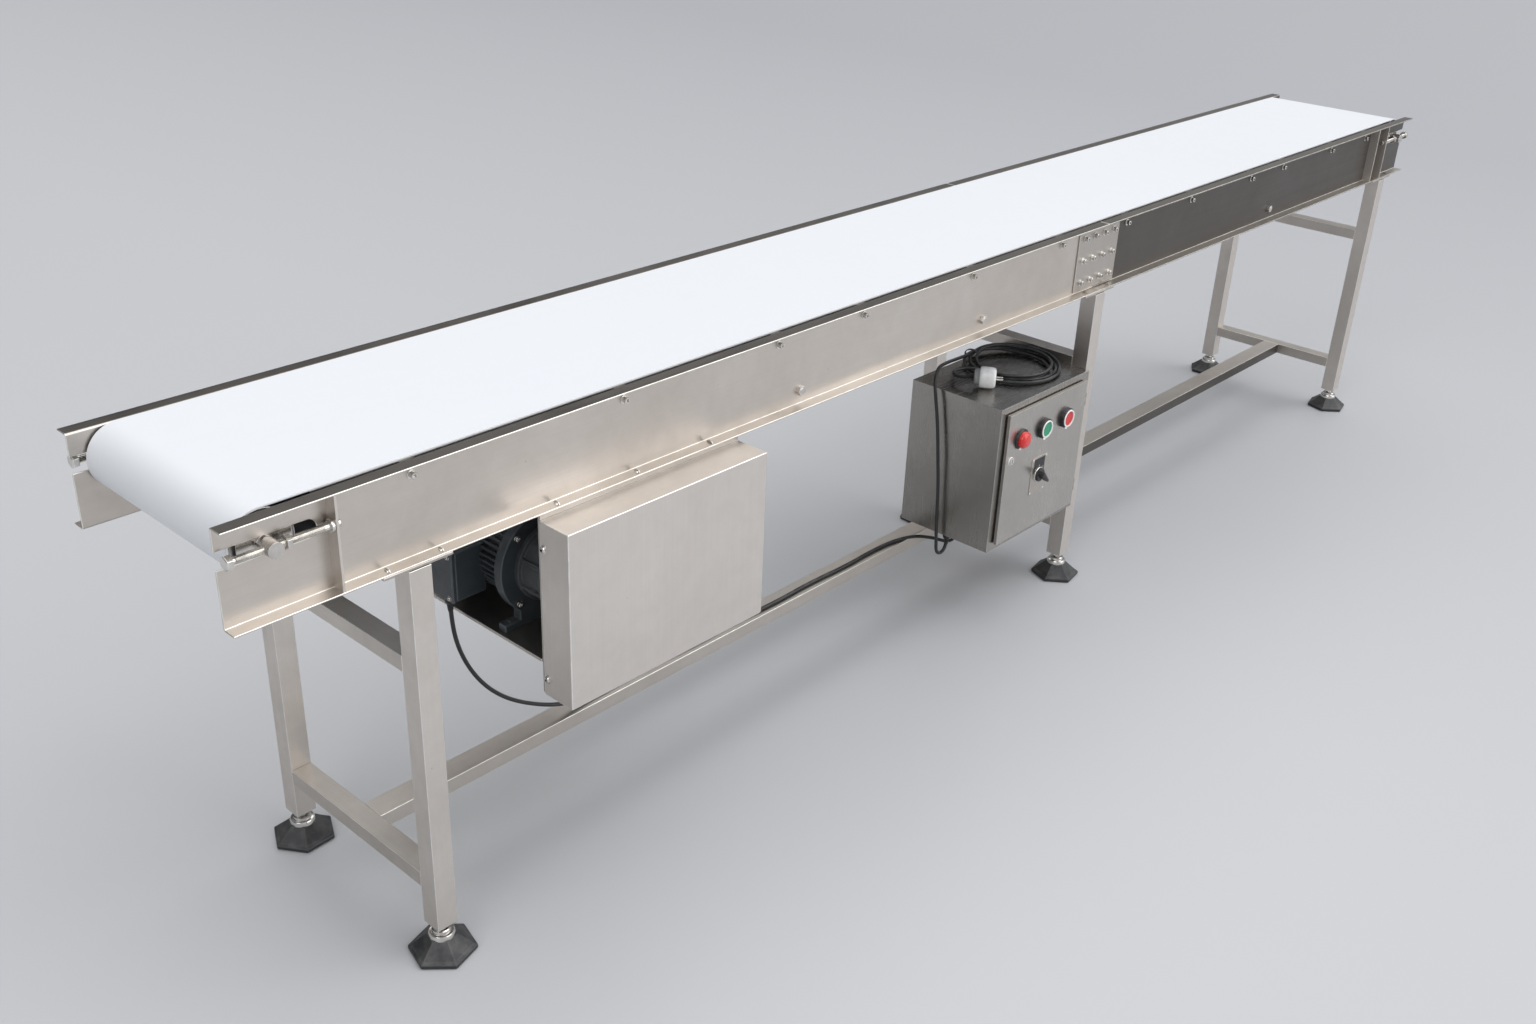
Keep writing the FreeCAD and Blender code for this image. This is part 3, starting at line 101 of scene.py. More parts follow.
def newGroup(name, inputs, outputs):
    group = bpy.data.node_groups.new(name, "ShaderNodeTree")
    for socket, kind in inputs:
        group.interface.new_socket(socket, in_out="INPUT", socket_type=kind)
    for socket, kind in outputs:
        group.interface.new_socket(socket, in_out="OUTPUT", socket_type=kind)
    return group, group.nodes.new("NodeGroupInput").outputs, group.nodes.new("NodeGroupOutput").inputs


def noise(tree, coordinate, scale, detail=3.0, rough=0.5, twist=0.0):
    made = addNode(tree, "ShaderNodeTexNoise", {
        "Vector": coordinate, "Scale": scale, "Detail": detail, "Roughness": rough, "Distortion": twist,
    })
    return made.outputs["Fac"]


def spread(tree, value, low, high, newLow=0.0, newHigh=1.0):
    made = addNode(tree, "ShaderNodeMapRange", {
        "Value": value, "From Min": low, "From Max": high, "To Min": newLow, "To Max": newHigh,
    })
    return made.outputs["Result"]


def figure(tree, operation, first, second, clamp=False):
    made = addNode(tree, "ShaderNodeMath", {0: first, 1: second}, operation=operation, use_clamp=clamp)
    return made.outputs[0]


def stretched(tree, coordinate, scale):
    made = addNode(tree, "ShaderNodeVectorMath", {0: coordinate, 1: scale}, operation="MULTIPLY")
    return made.outputs[0]


def blendColour(tree, amount, first, second, mode="MIX"):
    made = tree.nodes.new("ShaderNodeMix")
    made.data_type = "RGBA"
    made.blend_type = mode
    for socket, value in ((made.inputs[0], amount), (made.inputs[6], first), (made.inputs[7], second)):
        if isinstance(value, bpy.types.NodeSocket):
            tree.links.new(value, socket)
        elif isinstance(value, float):
            socket.default_value = value
        else:
            socket.default_value = (*value, 1.0)
    return made.outputs[2]


# Brushed sheet: fine streaks along one way, soft clouds, and a few small pits
def makeBrushing():
    group, given, result = newGroup(
        "brushing",
        [
            ("Coordinate", "NodeSocketVector"), ("Stretch", "NodeSocketVector"),
            ("Cloud Size", "NodeSocketFloat"),
        ],
        [("Streaks", "NodeSocketFloat"), ("Clouds", "NodeSocketFloat"), ("Pits", "NodeSocketFloat")],
    )
    long = stretched(group, given["Coordinate"], given["Stretch"])
    fine = noise(group, long, 1.0, 4.0, 0.65)
    broad = noise(group, long, 0.13, 2.0, 0.5)
    streaks = figure(
        group, "ADD", figure(group, "MULTIPLY", fine, 0.7), figure(group, "MULTIPLY", broad, 0.3),
    )
    large = noise(group, given["Coordinate"], given["Cloud Size"], 4.0, 0.55, 0.6)
    small = noise(group, given["Coordinate"], 26.0, 3.0, 0.6, 0.3)
    clouds = figure(
        group, "ADD", figure(group, "MULTIPLY", large, 0.75), figure(group, "MULTIPLY", small, 0.25),
    )
    cells = addNode(
        group, "ShaderNodeTexVoronoi", {"Vector": given["Coordinate"], "Scale": 17.0}, feature="F1",
    )
    pits = spread(group, cells.outputs["Distance"], 0.012, 0.022, 1.0, 0.0)
    group.links.new(streaks, result["Streaks"])
    group.links.new(spread(group, clouds, 0.32, 0.68), result["Clouds"])
    group.links.new(pits, result["Pits"])
    return group


# Edges: the bevelled faces carry the attribute, broken up by a little noise; the mask lightens edges as wear
# and as a painted highlight
def makeEdgeWearAndHighlight():
    group, given, result = newGroup(
        "edgeWearAndHighlight",
        [("Coordinate", "NodeSocketVector"), ("Amount", "NodeSocketFloat")],
        [("Mask", "NodeSocketFloat")],
    )
    mark = addNode(group, "ShaderNodeAttribute", attribute_name="worn").outputs["Fac"]
    patches = spread(group, noise(group, given["Coordinate"], 55.0, 3.0), 0.3, 0.7, 0.45, 1.0)
    amount = figure(group, "MULTIPLY", mark, given["Amount"])
    group.links.new(figure(group, "MULTIPLY", amount, patches, True), result["Mask"])
    return group


# Dust that settles on what faces up
def makeDust():
    group, given, result = newGroup(
        "settledDust",
        [("Coordinate", "NodeSocketVector"), ("Amount", "NodeSocketFloat")],
        [("Mask", "NodeSocketFloat")],
    )
    normal = addNode(group, "ShaderNodeNewGeometry").outputs["Normal"]
    upward = addNode(group, "ShaderNodeSeparateXYZ", {0: normal}).outputs["Z"]
    facing = spread(group, upward, 0.35, 1.0)
    patches = spread(group, noise(group, given["Coordinate"], 32.0, 5.0, 0.65), 0.4, 0.75)
    lying = figure(group, "MULTIPLY", facing, patches)
    group.links.new(figure(group, "MULTIPLY", lying, given["Amount"], True), result["Mask"])
    return group


brushing = makeBrushing()
edgeWearAndHighlight = makeEdgeWearAndHighlight()
settledDust = makeDust()


def newMaterial(name, colour):
    material = bpy.data.materials.new(name)
    material.use_nodes = True
    material.diffuse_color = (*colour, 1)
    tree = material.node_tree
    shader = tree.nodes["Principled BSDF"]
    place = tree.nodes.new("ShaderNodeTexCoord").outputs["Object"]
    return material, tree, shader, place


def placeGroup(tree, group, inputs):
    return addNode(tree, "ShaderNodeGroup", inputs, node_tree=group).outputs


def bumpOn(tree, shader, height, strength, distance):
    bump = addNode(tree, "ShaderNodeBump", {"Height": height, "Strength": strength, "Distance": distance})
    tree.links.new(bump.outputs["Normal"], shader.inputs["Normal"])


# ---------- finishes ----------

# Painted shade on the channels: their webs beyond a place along the conveyor, and their top flanges, are
# darkened in colour where shade and dark reflections fall on them
def paintedChannelShade(tree, place, start, height):
    spot = addNode(tree, "ShaderNodeSeparateXYZ", {0: place}).outputs
    normal = addNode(tree, "ShaderNodeNewGeometry").outputs["Normal"]
    facing = addNode(tree, "ShaderNodeSeparateXYZ", {0: normal}).outputs
    upright = spread(tree, figure(tree, "ABSOLUTE", facing["Y"], 0.0), 0.7, 0.9, 0.0, 0.93)
    web = figure(tree, "MULTIPLY", spread(tree, spot["X"], start - 0.001, start + 0.001), upright)
    level = spread(tree, facing["Z"], 0.8, 0.95, 0.0, 0.72)
    top = figure(tree, "MULTIPLY", spread(tree, spot["Z"], height - 0.004, height - 0.002), level)
    return figure(tree, "MAXIMUM", web, top)


# Brushing runs level on faces that look up or down
def grainWay(tree, stretch, level):
    normal = addNode(tree, "ShaderNodeNewGeometry").outputs["Normal"]
    upward = addNode(tree, "ShaderNodeSeparateXYZ", {0: normal}).outputs["Z"]
    flat = spread(tree, figure(tree, "ABSOLUTE", upward, 0.0), 0.6, 0.8)
    made = tree.nodes.new("ShaderNodeMix")
    made.data_type = "VECTOR"
    tree.links.new(flat, made.inputs[0])
    made.inputs[4].default_value = stretch
    made.inputs[5].default_value = level
    return made.outputs[1]


# How finely the brushing varies along the grain and across it
grainValues = {"along": 2.5, "across": 620.0}


def brushedSteel(
    name, light, dark, grain, rough=(0.3, 0.46), depth=0.12, wearAndHighlight=0.8, cloudSize=3.2, paintedShade=None,
):
    material, tree, shader, place = newMaterial(name, light)
    along, across = grainValues["along"], grainValues["across"]
    ways = {"x": (along, across, across), "y": (across, along, across), "z": (across, across, along)}
    stretch = ways[grain]
    if grain == "z":
        stretch = grainWay(tree, stretch, ways["x"])
    worked = placeGroup(tree, brushing, {"Coordinate": place, "Stretch": stretch, "Cloud Size": cloudSize})
    edge = placeGroup(tree, edgeWearAndHighlight, {"Coordinate": place, "Amount": wearAndHighlight})["Mask"]
    tone = blendColour(tree, worked["Clouds"], dark, light)
    streaked = blendColour(tree, spread(tree, worked["Streaks"], 0.3, 0.7, 0.0, 0.35), tone, dark)
    if paintedShade:
        # painted shade: the shaded webs and top flanges of the channels are blended towards a near black tone
        streaked = blendColour(
            tree, paintedChannelShade(tree, place, *paintedShade), streaked, tuple(c * 0.16 for c in dark)
        )
    pitted = blendColour(tree, figure(tree, "MULTIPLY", worked["Pits"], 0.5), streaked, (0.05, 0.045, 0.04))
    # painted highlight, partly edge wear: the bevelled edges are lightened towards a pale tone
    bright = tuple(min(1.0, c * 1.5 + 0.08) for c in light)
    tree.links.new(blendColour(tree, edge, pitted, bright), shader.inputs["Base Color"])
    shader.inputs["Metallic"].default_value = 1.0
    base = spread(tree, worked["Clouds"], 0.0, 1.0, rough[1], rough[0])
    varied = figure(tree, "ADD", base, spread(tree, worked["Streaks"], 0.3, 0.7, -0.05, 0.07))
    smoother = figure(tree, "SUBTRACT", varied, figure(tree, "MULTIPLY", edge, 0.12))
    tree.links.new(smoother, shader.inputs["Roughness"])
    bumpOn(tree, shader, worked["Streaks"], depth, 0.0004)
    return material


def turnedMetal(name, colour, rough=(0.16, 0.3), rings=900.0, depth=0.08, axis="x"):
    material, tree, shader, place = newMaterial(name, colour)
    stretch = {"x": (rings, 3.0, 3.0), "y": (3.0, rings, 3.0), "z": (3.0, 3.0, rings)}[axis]
    lines = noise(tree, stretched(tree, place, stretch), 1.0, 3.0, 0.6)
    stain = noise(tree, place, 38.0, 4.0, 0.6)
    edge = placeGroup(tree, edgeWearAndHighlight, {"Coordinate": place, "Amount": 0.7})["Mask"]
    darker = tuple(c * 0.62 for c in colour)
    tone = blendColour(tree, spread(tree, stain, 0.35, 0.7, 0.0, 0.7), colour, darker)
    # painted highlight, partly edge wear: the bevelled edges are lightened towards near white
    tree.links.new(blendColour(tree, edge, tone, (0.9, 0.89, 0.87)), shader.inputs["Base Color"])
    shader.inputs["Metallic"].default_value = 1.0
    tree.links.new(spread(tree, lines, 0.3, 0.7, rough[0], rough[1]), shader.inputs["Roughness"])
    bumpOn(tree, shader, lines, depth, 0.0003)
    return material


def paintedMetal(name, colour, dustTone=(0.34, 0.33, 0.31), dust=0.35, rough=0.38, grain=420.0, chips=0.5):
    material, tree, shader, place = newMaterial(name, colour)
    skin = noise(tree, place, grain, 2.0, 0.5)
    soil = noise(tree, place, 19.0, 5.0, 0.62)
    edge = placeGroup(tree, edgeWearAndHighlight, {"Coordinate": place, "Amount": chips})["Mask"]
    lying = placeGroup(tree, settledDust, {"Coordinate": place, "Amount": dust})["Mask"]
    darker = tuple(c * 0.7 for c in colour)
    paler = tuple(min(1.0, c * 1.9 + 0.02) for c in colour)
    tone = blendColour(tree, spread(tree, soil, 0.35, 0.7), colour, darker)
    rubbed = blendColour(tree, edge, tone, paler)
    tree.links.new(blendColour(tree, lying, rubbed, dustTone), shader.inputs["Base Color"])
    base = spread(tree, soil, 0.3, 0.7, rough - 0.06, rough + 0.1)
    tree.links.new(
        figure(tree, "ADD", base, figure(tree, "MULTIPLY", lying, 0.35)), shader.inputs["Roughness"],
    )
    bumpOn(tree, shader, skin, 0.2, 0.0004)
    return material


def mouldedPlastic(name, colour, rough=0.35, grain=700.0, depth=0.12, wearAndHighlight=0.35, dust=0.12, coat=0.0):
    material, tree, shader, place = newMaterial(name, colour)
    texture = noise(tree, place, grain, 2.0, 0.6)
    patches = noise(tree, place, 60.0, 4.0, 0.6)
    edge = placeGroup(tree, edgeWearAndHighlight, {"Coordinate": place, "Amount": wearAndHighlight})["Mask"]
    lying = placeGroup(tree, settledDust, {"Coordinate": place, "Amount": dust})["Mask"]
    darker = tuple(c * 0.8 for c in colour)
    paler = tuple(min(1.0, c * 1.35 + 0.025) for c in colour)
    tone = blendColour(tree, spread(tree, patches, 0.3, 0.7), darker, colour)
    rubbed = blendColour(tree, edge, tone, paler)
    tree.links.new(blendColour(tree, lying, rubbed, (0.45, 0.44, 0.42)), shader.inputs["Base Color"])
    tree.links.new(spread(tree, patches, 0.3, 0.7, rough - 0.05, rough + 0.09), shader.inputs["Roughness"])
    shader.inputs["Coat Weight"].default_value = coat
    bumpOn(tree, shader, texture, depth, 0.0003)
    return material


def beltCover(name):
    material, tree, shader, place = newMaterial(name, (0.9, 0.91, 0.92))
    weave = noise(tree, stretched(tree, place, (1500.0, 1500.0, 1500.0)), 1.0, 1.0, 0.4)
    handled = noise(tree, place, 2.6, 5.0, 0.6, 0.5)
    rubs = noise(tree, stretched(tree, place, (1.2, 46.0, 1.2)), 1.0, 4.0, 0.6)
    tone = blendColour(
        tree, spread(tree, handled, 0.35, 0.75, 0.0, 0.6), (0.71, 0.73, 0.76), (0.67, 0.69, 0.725),
    )
    rubbed = blendColour(tree, spread(tree, rubs, 0.52, 0.8, 0.0, 0.2), tone, (0.67, 0.68, 0.69))
    edge = placeGroup(tree, edgeWearAndHighlight, {"Coordinate": place, "Amount": 0.5})["Mask"]
    tree.links.new(blendColour(tree, edge, rubbed, (0.62, 0.62, 0.61)), shader.inputs["Base Color"])
    tree.links.new(spread(tree, handled, 0.3, 0.7, 0.42, 0.56), shader.inputs["Roughness"])
    shader.inputs["Specular IOR Level"].default_value = 0.35
    bumpOn(tree, shader, weave, 0.1, 0.0002)
    return material


finishes = {
    # the rail steel carries painted shade on its webs past x = 0.217 m and on its top flanges near z = 0.92 m
    "stainless": brushedSteel("railSteel", (0.65, 0.605, 0.56), (0.52, 0.48, 0.44), "x", paintedShade=(0.217, 0.92)),
    "legs": brushedSteel("legSteel", (0.74, 0.695, 0.65), (0.59, 0.55, 0.51), "z"),
    "tubes": brushedSteel("tubeSteel", (0.62, 0.58, 0.535), (0.49, 0.455, 0.42), "y"),
    "cover": brushedSteel("coverSteel", (0.72, 0.68, 0.64), (0.62, 0.58, 0.545), "z", (0.36, 0.5)),
    # painted shade and light: box and door are one steel, the box toned darker where it stands shaded and the
    # door lighter where it faces the light
    "box": brushedSteel("boxSteelPaintedShade", (0.42, 0.4, 0.375), (0.32, 0.305, 0.285), "z", (0.2, 0.32)),
    "door": brushedSteel("doorSteelPaintedLight", (0.54, 0.515, 0.485), (0.42, 0.4, 0.375), "z", (0.22, 0.34)),
    "bed": brushedSteel("bedSteel", (0.46, 0.45, 0.43), (0.36, 0.35, 0.33), "x", (0.4, 0.55)),
    "plate": brushedSteel("plateSteel", (0.55, 0.515, 0.475), (0.43, 0.4, 0.37), "x", (0.3, 0.42)),
    "bright": turnedMetal("brightSteel", (0.74, 0.72, 0.69), (0.1, 0.2), 700.0, 0.05, "y"),
    "screwSteel": turnedMetal("screwSteel", (0.74, 0.72, 0.68), (0.14, 0.28), 1100.0, 0.06, "x"),
    "turned": turnedMetal("turnedSteel", (0.66, 0.63, 0.6), (0.2, 0.36), 900.0, 0.08, "y"),
    "roller": turnedMetal("rollerSteel", (0.58, 0.57, 0.55), (0.26, 0.42), 500.0, 0.1, "y"),
    "chain": turnedMetal("chainSteel", (0.24, 0.22, 0.2), (0.3, 0.5), 600.0, 0.1, "y"),
    "motor": paintedMetal("motorPaint", (0.05, 0.06, 0.067)),
    "casting": paintedMetal("castHousing", (0.055, 0.06, 0.065), grain=260.0, rough=0.5),
    "black": mouldedPlastic("blackPlastic", (0.014, 0.014, 0.015), 0.32),
    "grey": mouldedPlastic("greyPlastic", (0.36, 0.37, 0.37), 0.45),
    "white": mouldedPlastic("plugWhite", (0.9, 0.9, 0.9), 0.3, coat=0.2),
    "green": mouldedPlastic("greenCap", (0.0, 0.27, 0.13), 0.28, coat=0.3, wearAndHighlight=0.2),
    "red": mouldedPlastic("redCap", (0.62, 0.012, 0.012), 0.28, coat=0.3, wearAndHighlight=0.2),
    "lens": mouldedPlastic("redLens", (0.68, 0.012, 0.01), 0.14, coat=0.6, wearAndHighlight=0.2, depth=0.03),
    "rubber": mouldedPlastic("footRubber", (0.02, 0.021, 0.023), 0.46, 380.0, 0.2, 0.5, 0.2),
    "gasket": mouldedPlastic("gasketRubber", (0.018, 0.018, 0.018), 0.6, 500.0, 0.2, 0.1, 0.1),
    "cable": mouldedPlastic("cableSheath", (0.016, 0.016, 0.018), 0.34, 240.0, 0.1, 0.0, 0.25),
    "belt": beltCover("whiteBelt"),
}
print("finishes made")

# ---------- shape helpers ----------

def easeEdges(shape, width, segments=2, sharp=32, marked=True):
    worn = shape.faces.layers.float.get("worn") or shape.faces.layers.float.new("worn")
    corners = [e for e in shape.edges if len(e.link_faces) == 2 and e.calc_face_angle() > math.radians(sharp)]
    eased = bmesh.ops.bevel(
        shape, geom=corners, offset=width, offset_type="OFFSET", segments=segments, profile=0.5,
        affect="EDGES", clamp_overlap=True, material=-1,
    )
    # mark the bevelled faces for the edge mask that paints wear and a highlight
    if marked:
        for face in eased["faces"]:
            face[worn] = 1.0


def addPiece(shape, name, finish, body, standsFor=(), smooth=40):
    mesh = bpy.data.meshes.new(name)
    shape.to_mesh(mesh)
    shape.free()
    mesh.materials.append(finishes[finish])
    mesh.shade_smooth()
    mesh.set_sharp_from_angle(angle=math.radians(smooth))
    piece = bpy.data.objects.new(name, mesh)
    scene.collection.objects.link(piece)
    even = piece.modifiers.new("evenNormals", "WEIGHTED_NORMAL")
    even.keep_sharp = True
    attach(piece, body)
    if standsFor:
        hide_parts(*standsFor)
    return piece


def cadCopy(node):
    shape = bmesh.new()
    shape.from_mesh(nodes[node].data)
    bmesh.ops.remove_doubles(shape, verts=shape.verts, dist=0.00002)
    bmesh.ops.dissolve_limit(shape, angle_limit=math.radians(0.5), verts=shape.verts, edges=shape.edges)
    return shape


def islands(shape):
    left = set(shape.verts)
    found = []
    while left:
        group = {left.pop()}
        front = list(group)
        while front:
            for edge in front.pop().link_edges:
                for vert in edge.verts:
                    if vert in left:
                        left.discard(vert)
                        group.add(vert)
                        front.append(vert)
        found.append(group)
    return found


def solidBoxes(node):
    shape = bmesh.new()
    shape.from_mesh(nodes[node].data)
    bmesh.ops.remove_doubles(shape, verts=shape.verts, dist=0.00002)
    boxes = []
    for group in islands(shape):
        spots = [v.co for v in group]
        low = Vector(min(s[i] for s in spots) for i in range(3))
        high = Vector(max(s[i] for s in spots) for i in range(3))
        boxes.append((low, high))
    shape.free()
    return sorted(boxes, key=lambda pair: tuple(round(v, 4) for v in (*pair[0], *pair[1])))


towards = {
    "x": Matrix.Rotation(math.radians(90), 4, "Y"),
    "-x": Matrix.Rotation(math.radians(-90), 4, "Y"),
    "y": Matrix.Rotation(math.radians(-90), 4, "X"),
    "-y": Matrix.Rotation(math.radians(90), 4, "X"),
    "z": Matrix.Identity(4),
    "-z": Matrix.Rotation(math.radians(180), 4, "X"),
}


# A turned shape: (distance along, radius) pairs spun round z, then pointed along an axis
def turned(profile, steps=40, close=False):
    shape = bmesh.new()
    verts = [shape.verts.new((radius, 0, along)) for along, radius in profile]
    edges = [shape.edges.new(pair) for pair in zip(verts, verts[1:])]
    if close:
        edges.append(shape.edges.new((verts[-1], verts[0])))
    bmesh.ops.spin(
        shape, geom=verts + edges, cent=(0, 0, 0), axis=(0, 0, 1), angle=2 * math.pi, steps=steps,
        use_merge=True,
    )
    bmesh.ops.remove_doubles(shape, verts=shape.verts, dist=0.000005)
    bmesh.ops.recalc_face_normals(shape, faces=shape.faces)
    return shape


def moved(shape, matrix):
    bmesh.ops.transform(shape, matrix=matrix, verts=shape.verts)
    return shape


def lookingAt(spot, way, turn=0.0):
    return Matrix.Translation(Vector(spot)) @ towards[way] @ Matrix.Rotation(turn, 4, "Z")


def place(shape, spot, way="z", turn=0.0):
    return moved(shape, lookingAt(spot, way, turn))


def onlyVerts(parts):
    return [part for part in parts if isinstance(part, bmesh.types.BMVert)]


# Puts copies of one shape into another at a list of matrices
def stamp(target, source, matrices):
    mesh = bpy.data.meshes.new("stamp")
    source.to_mesh(mesh)
    for matrix in matrices:
        before = len(target.verts)
        target.from_mesh(mesh)
        target.verts.ensure_lookup_table()
        bmesh.ops.transform(target, matrix=matrix, verts=target.verts[before:])
    bpy.data.meshes.remove(mesh)


def join(target, source):
    stamp(target, source, [Matrix.Identity(4)])
    source.free()


def slab(low, high, ease=0.001, segments=2):
    shape = bmesh.new()
    low, high = Vector(low), Vector(high)
    middle, size = (low + high) / 2, high - low
    matrix = Matrix.Translation(middle) @ Matrix.Diagonal((*size, 1))
    bmesh.ops.create_cube(shape, size=1, matrix=matrix)
    easeEdges(shape, ease, segments)
    return shape


# ---------- cords ----------

cordValues = {
    "radius": 0.004,
    "turnRadius": 0.102,
    "pointsPerTurn": 16,
    "farRaise": 0.0042,
}

motorCable = [
    (-1.489, -0.003, 0.512), (-1.488, -0.003, 0.468), (-1.478, -0.003, 0.415), (-1.456, -0.003, 0.36),
    (-1.423, -0.003, 0.308), (-1.379, -0.003, 0.262), (-1.324, -0.004, 0.224), (-1.264, -0.005, 0.193),
    (-1.205, -0.006, 0.176), (-1.132, -0.007, 0.1715), (-1.015, -0.003, 0.1715), (-0.89, -0.009, 0.1715),
    (-0.765, -0.004, 0.1715), (-0.64, -0.011, 0.1715), (-0.515, -0.006, 0.1715), (-0.395, -0.012, 0.1715),
    (-0.29, -0.007, 0.1715), (-0.21, -0.012, 0.1715), (-0.155, -0.031, 0.1715), (-0.118, -0.06, 0.164),
    (-0.1, -0.091, 0.157), (-0.094, -0.108, 0.174), (-0.094, -0.108, 0.192),
]
supplyLead = [
    (-0.142, -0.115, 0.192), (-0.142, -0.115, 0.169), (-0.1615, -0.115, 0.1578), (-0.181, -0.115, 0.169),
    (-0.182, -0.113, 0.2), (-0.183, -0.109, 0.255), (-0.181, -0.104, 0.33), (-0.184, -0.097, 0.412),
    (-0.182, -0.086, 0.492), (-0.183, -0.074, 0.556), (-0.176, -0.062, 0.596), (-0.149, -0.051, 0.613),
    (-0.108, -0.038, 0.607), (-0.063, -0.024, 0.598), (-0.014, -0.014, 0.59), (0.044, -0.01, 0.586),
]
plugTail = [
    (-0.028, -0.128, 0.586), (-0.029, -0.092, 0.586), (-0.045, -0.055, 0.586), (-0.083, -0.047, 0.5865),
    (-0.111, -0.068, 0.5885), (-0.113, -0.095, 0.5915), (-0.097, -0.114, 0.5954),
]
# How far each stretch of the coil lies outside its middle radius, and how high, by degrees wound
coilLay = [
    (0, 0.0, 0.586), (60, 0.007, 0.587), (115, 0.014, 0.585), (175, 0.015, 0.5765), (360, 0.013, 0.5765),
    (415, 0.006, 0.576), (470, 0.001, 0.576), (720, -0.003, 0.5762), (775, -0.009, 0.5762),
    (830, -0.014, 0.5765),
    (1080, -0.013, 0.5775), (1140, -0.013, 0.5855), (1200, -0.008, 0.588), (1352, 0.003, 0.587),
]


def layAt(wound):
    for (start, outA, highA), (end, outB, highB) in zip(coilLay, coilLay[1:]):
        if wound <= end:
            part = max(0.0, (wound - start) / (end - start))
            part = part * part * (3 - 2 * part)
            return outA + (outB - outA) * part, highA + (highB - highA) * part
    return coilLay[-1][1:]


def coilPoints():
    coilLow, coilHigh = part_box("supply_coil")
    middle = (coilLow + coilHigh) / 2
    lead = Vector(supplyLead[-1])
    start = math.degrees(math.atan2(lead.y - middle.y, lead.x - middle.x))
    last = coilLay[-1][0]
    step = 360 / cordValues["pointsPerTurn"]
    points = []
    wound = step
    while wound < last - step * 0.6:
        out, high = layAt(wound)
        angle = math.radians(start - wound)
        reach = cordValues["turnRadius"] + out + 0.0032 * math.sin(angle * 2 + wound * 0.006)
        lift = cordValues["farRaise"] * (wound / 360) * max(0.0, math.sin(angle)) ** 2
        points.append((middle.x + reach * math.cos(angle), middle.y + reach * math.sin(angle), high + lift))
        wound += step
    return points


def laidCord(name, points, standsFor, finish="cable"):
    curve = bpy.data.curves.new(name, "CURVE")
    curve.dimensions = "3D"
    curve.bevel_depth = 1.0
    curve.bevel_resolution = 4
    curve.resolution_u = 6
    curve.use_fill_caps = True
    run = curve.splines.new("NURBS")
    run.points.add(len(points) - 1)
    for point, spot in zip(run.points, points):
        point.co = (*spot, 1.0)
        point.radius = cordValues["radius"]
    run.order_u = 3
    run.use_endpoint_u = True
    curve.materials.append(finishes[finish])
    cord = bpy.data.objects.new(name, curve)
    scene.collection.objects.link(cord)
    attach(cord, "frame")
    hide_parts(*standsFor)
    return cord


def runOf(cord):
    # the line that the cord follows, read from its own spline
    cord.data.bevel_depth = 0
    bpy.context.view_layer.update()
    line = bpy.data.meshes.new_from_object(cord)
    spots = [v.co.copy() for v in line.vertices]
    bpy.data.meshes.remove(line)
    cord.data.bevel_depth = 1.0
    return spots


def lengthOf(spots):
    return sum((b - a).length for a, b in zip(spots, spots[1:]))


motorLead = laidCord("motorCable", motorCable, ["motor_cable"])
supplyCord = laidCord("supplyCord", supplyLead + coilPoints() + plugTail, ["supply_lead", "supply_coil"])
motorRun = runOf(motorLead)
supplyRun = runOf(supplyCord)
print("cords laid", round(lengthOf(motorRun), 3), round(lengthOf(supplyRun), 3))


# Rounded plug with a grey collar, two pins and a sleeve over the cord
plugValues = {"radius": 0.024, "squareness": 3.2, "steps": 56, "pinEnd": 0.067}


def squared(shape, power, top):
    for vert in shape.verts:
        reach = math.hypot(vert.co.x, vert.co.y)
        if reach > 0.25 * top:
            angle = math.atan2(vert.co.y, vert.co.x)
            factor = (abs(math.cos(angle)) ** power + abs(math.sin(angle)) ** power) ** (-1 / power)
            limit = min(1.0, reach / top)
            keep = 1 + (factor - 1) * 0.5 * limit
            vert.co.x *= keep
            vert.co.y *= keep


def makePlug():
    start, before = supplyRun[-1], supplyRun[-4]
    way = start - before
    way.z = 0
    turn = way.to_track_quat("Z", "Y").to_matrix().to_4x4()
    seat = Matrix.Translation(start) @ turn
    r = plugValues["radius"]
    body = turned([
        (0.0135, 0.0), (0.0135, r * 0.84), (0.0145, r * 0.93), (0.018, r * 0.99), (0.024, r),
        (0.04, r * 0.99),
        (0.046, r * 0.95), (0.0495, r * 0.85), (0.051, r * 0.7), (0.0512, 0.0),
    ], plugValues["steps"])
    squared(body, plugValues["squareness"], r)
    easeEdges(body, 0.0006, 2, 50)
    moved(body, seat)
    collar = turned([
        (0.001, 0.0), (0.001, r * 0.55), (0.0025, r * 0.72), (0.0065, r * 0.78), (0.0075, r * 0.74),
        (0.0085, r * 0.78), (0.0125, r * 0.8), (0.0135, r * 0.8), (0.0135, 0.0),
    ], plugValues["steps"])
    moved(collar, seat)
    pins = bmesh.new()
    end = plugValues["pinEnd"]
    pin = turned(
        [(0.048, 0.0), (0.048, 0.0024), (end - 0.0017, 0.0024), (end - 0.0002, 0.0016), (end, 0.0)], 20,
    )
    stamp(pins, pin, [seat @ Matrix.Translation((across, 0, 0)) for across in (-0.007, 0.007)])
    pin.free()
    sleeve = turned([
        (-0.017, 0.0), (-0.017, 0.0046), (-0.013, 0.0052), (-0.0125, 0.0047), (-0.009, 0.0056),
        (-0.0085, 0.005),
        (-0.005, 0.0062), (-0.0045, 0.0055), (0.0, 0.0072), (0.002, 0.008), (0.002, 0.0),
    ], 24)
    moved(sleeve, seat)
    return [
        addPiece(body, "plugBody", "white", "frame", ["supply_plug"]),
        addPiece(collar, "plugCollar", "grey", "frame"),
        addPiece(pins, "plugPins", "bright", "frame"),
        addPiece(sleeve, "plugSleeve", "black", "frame"),
    ]


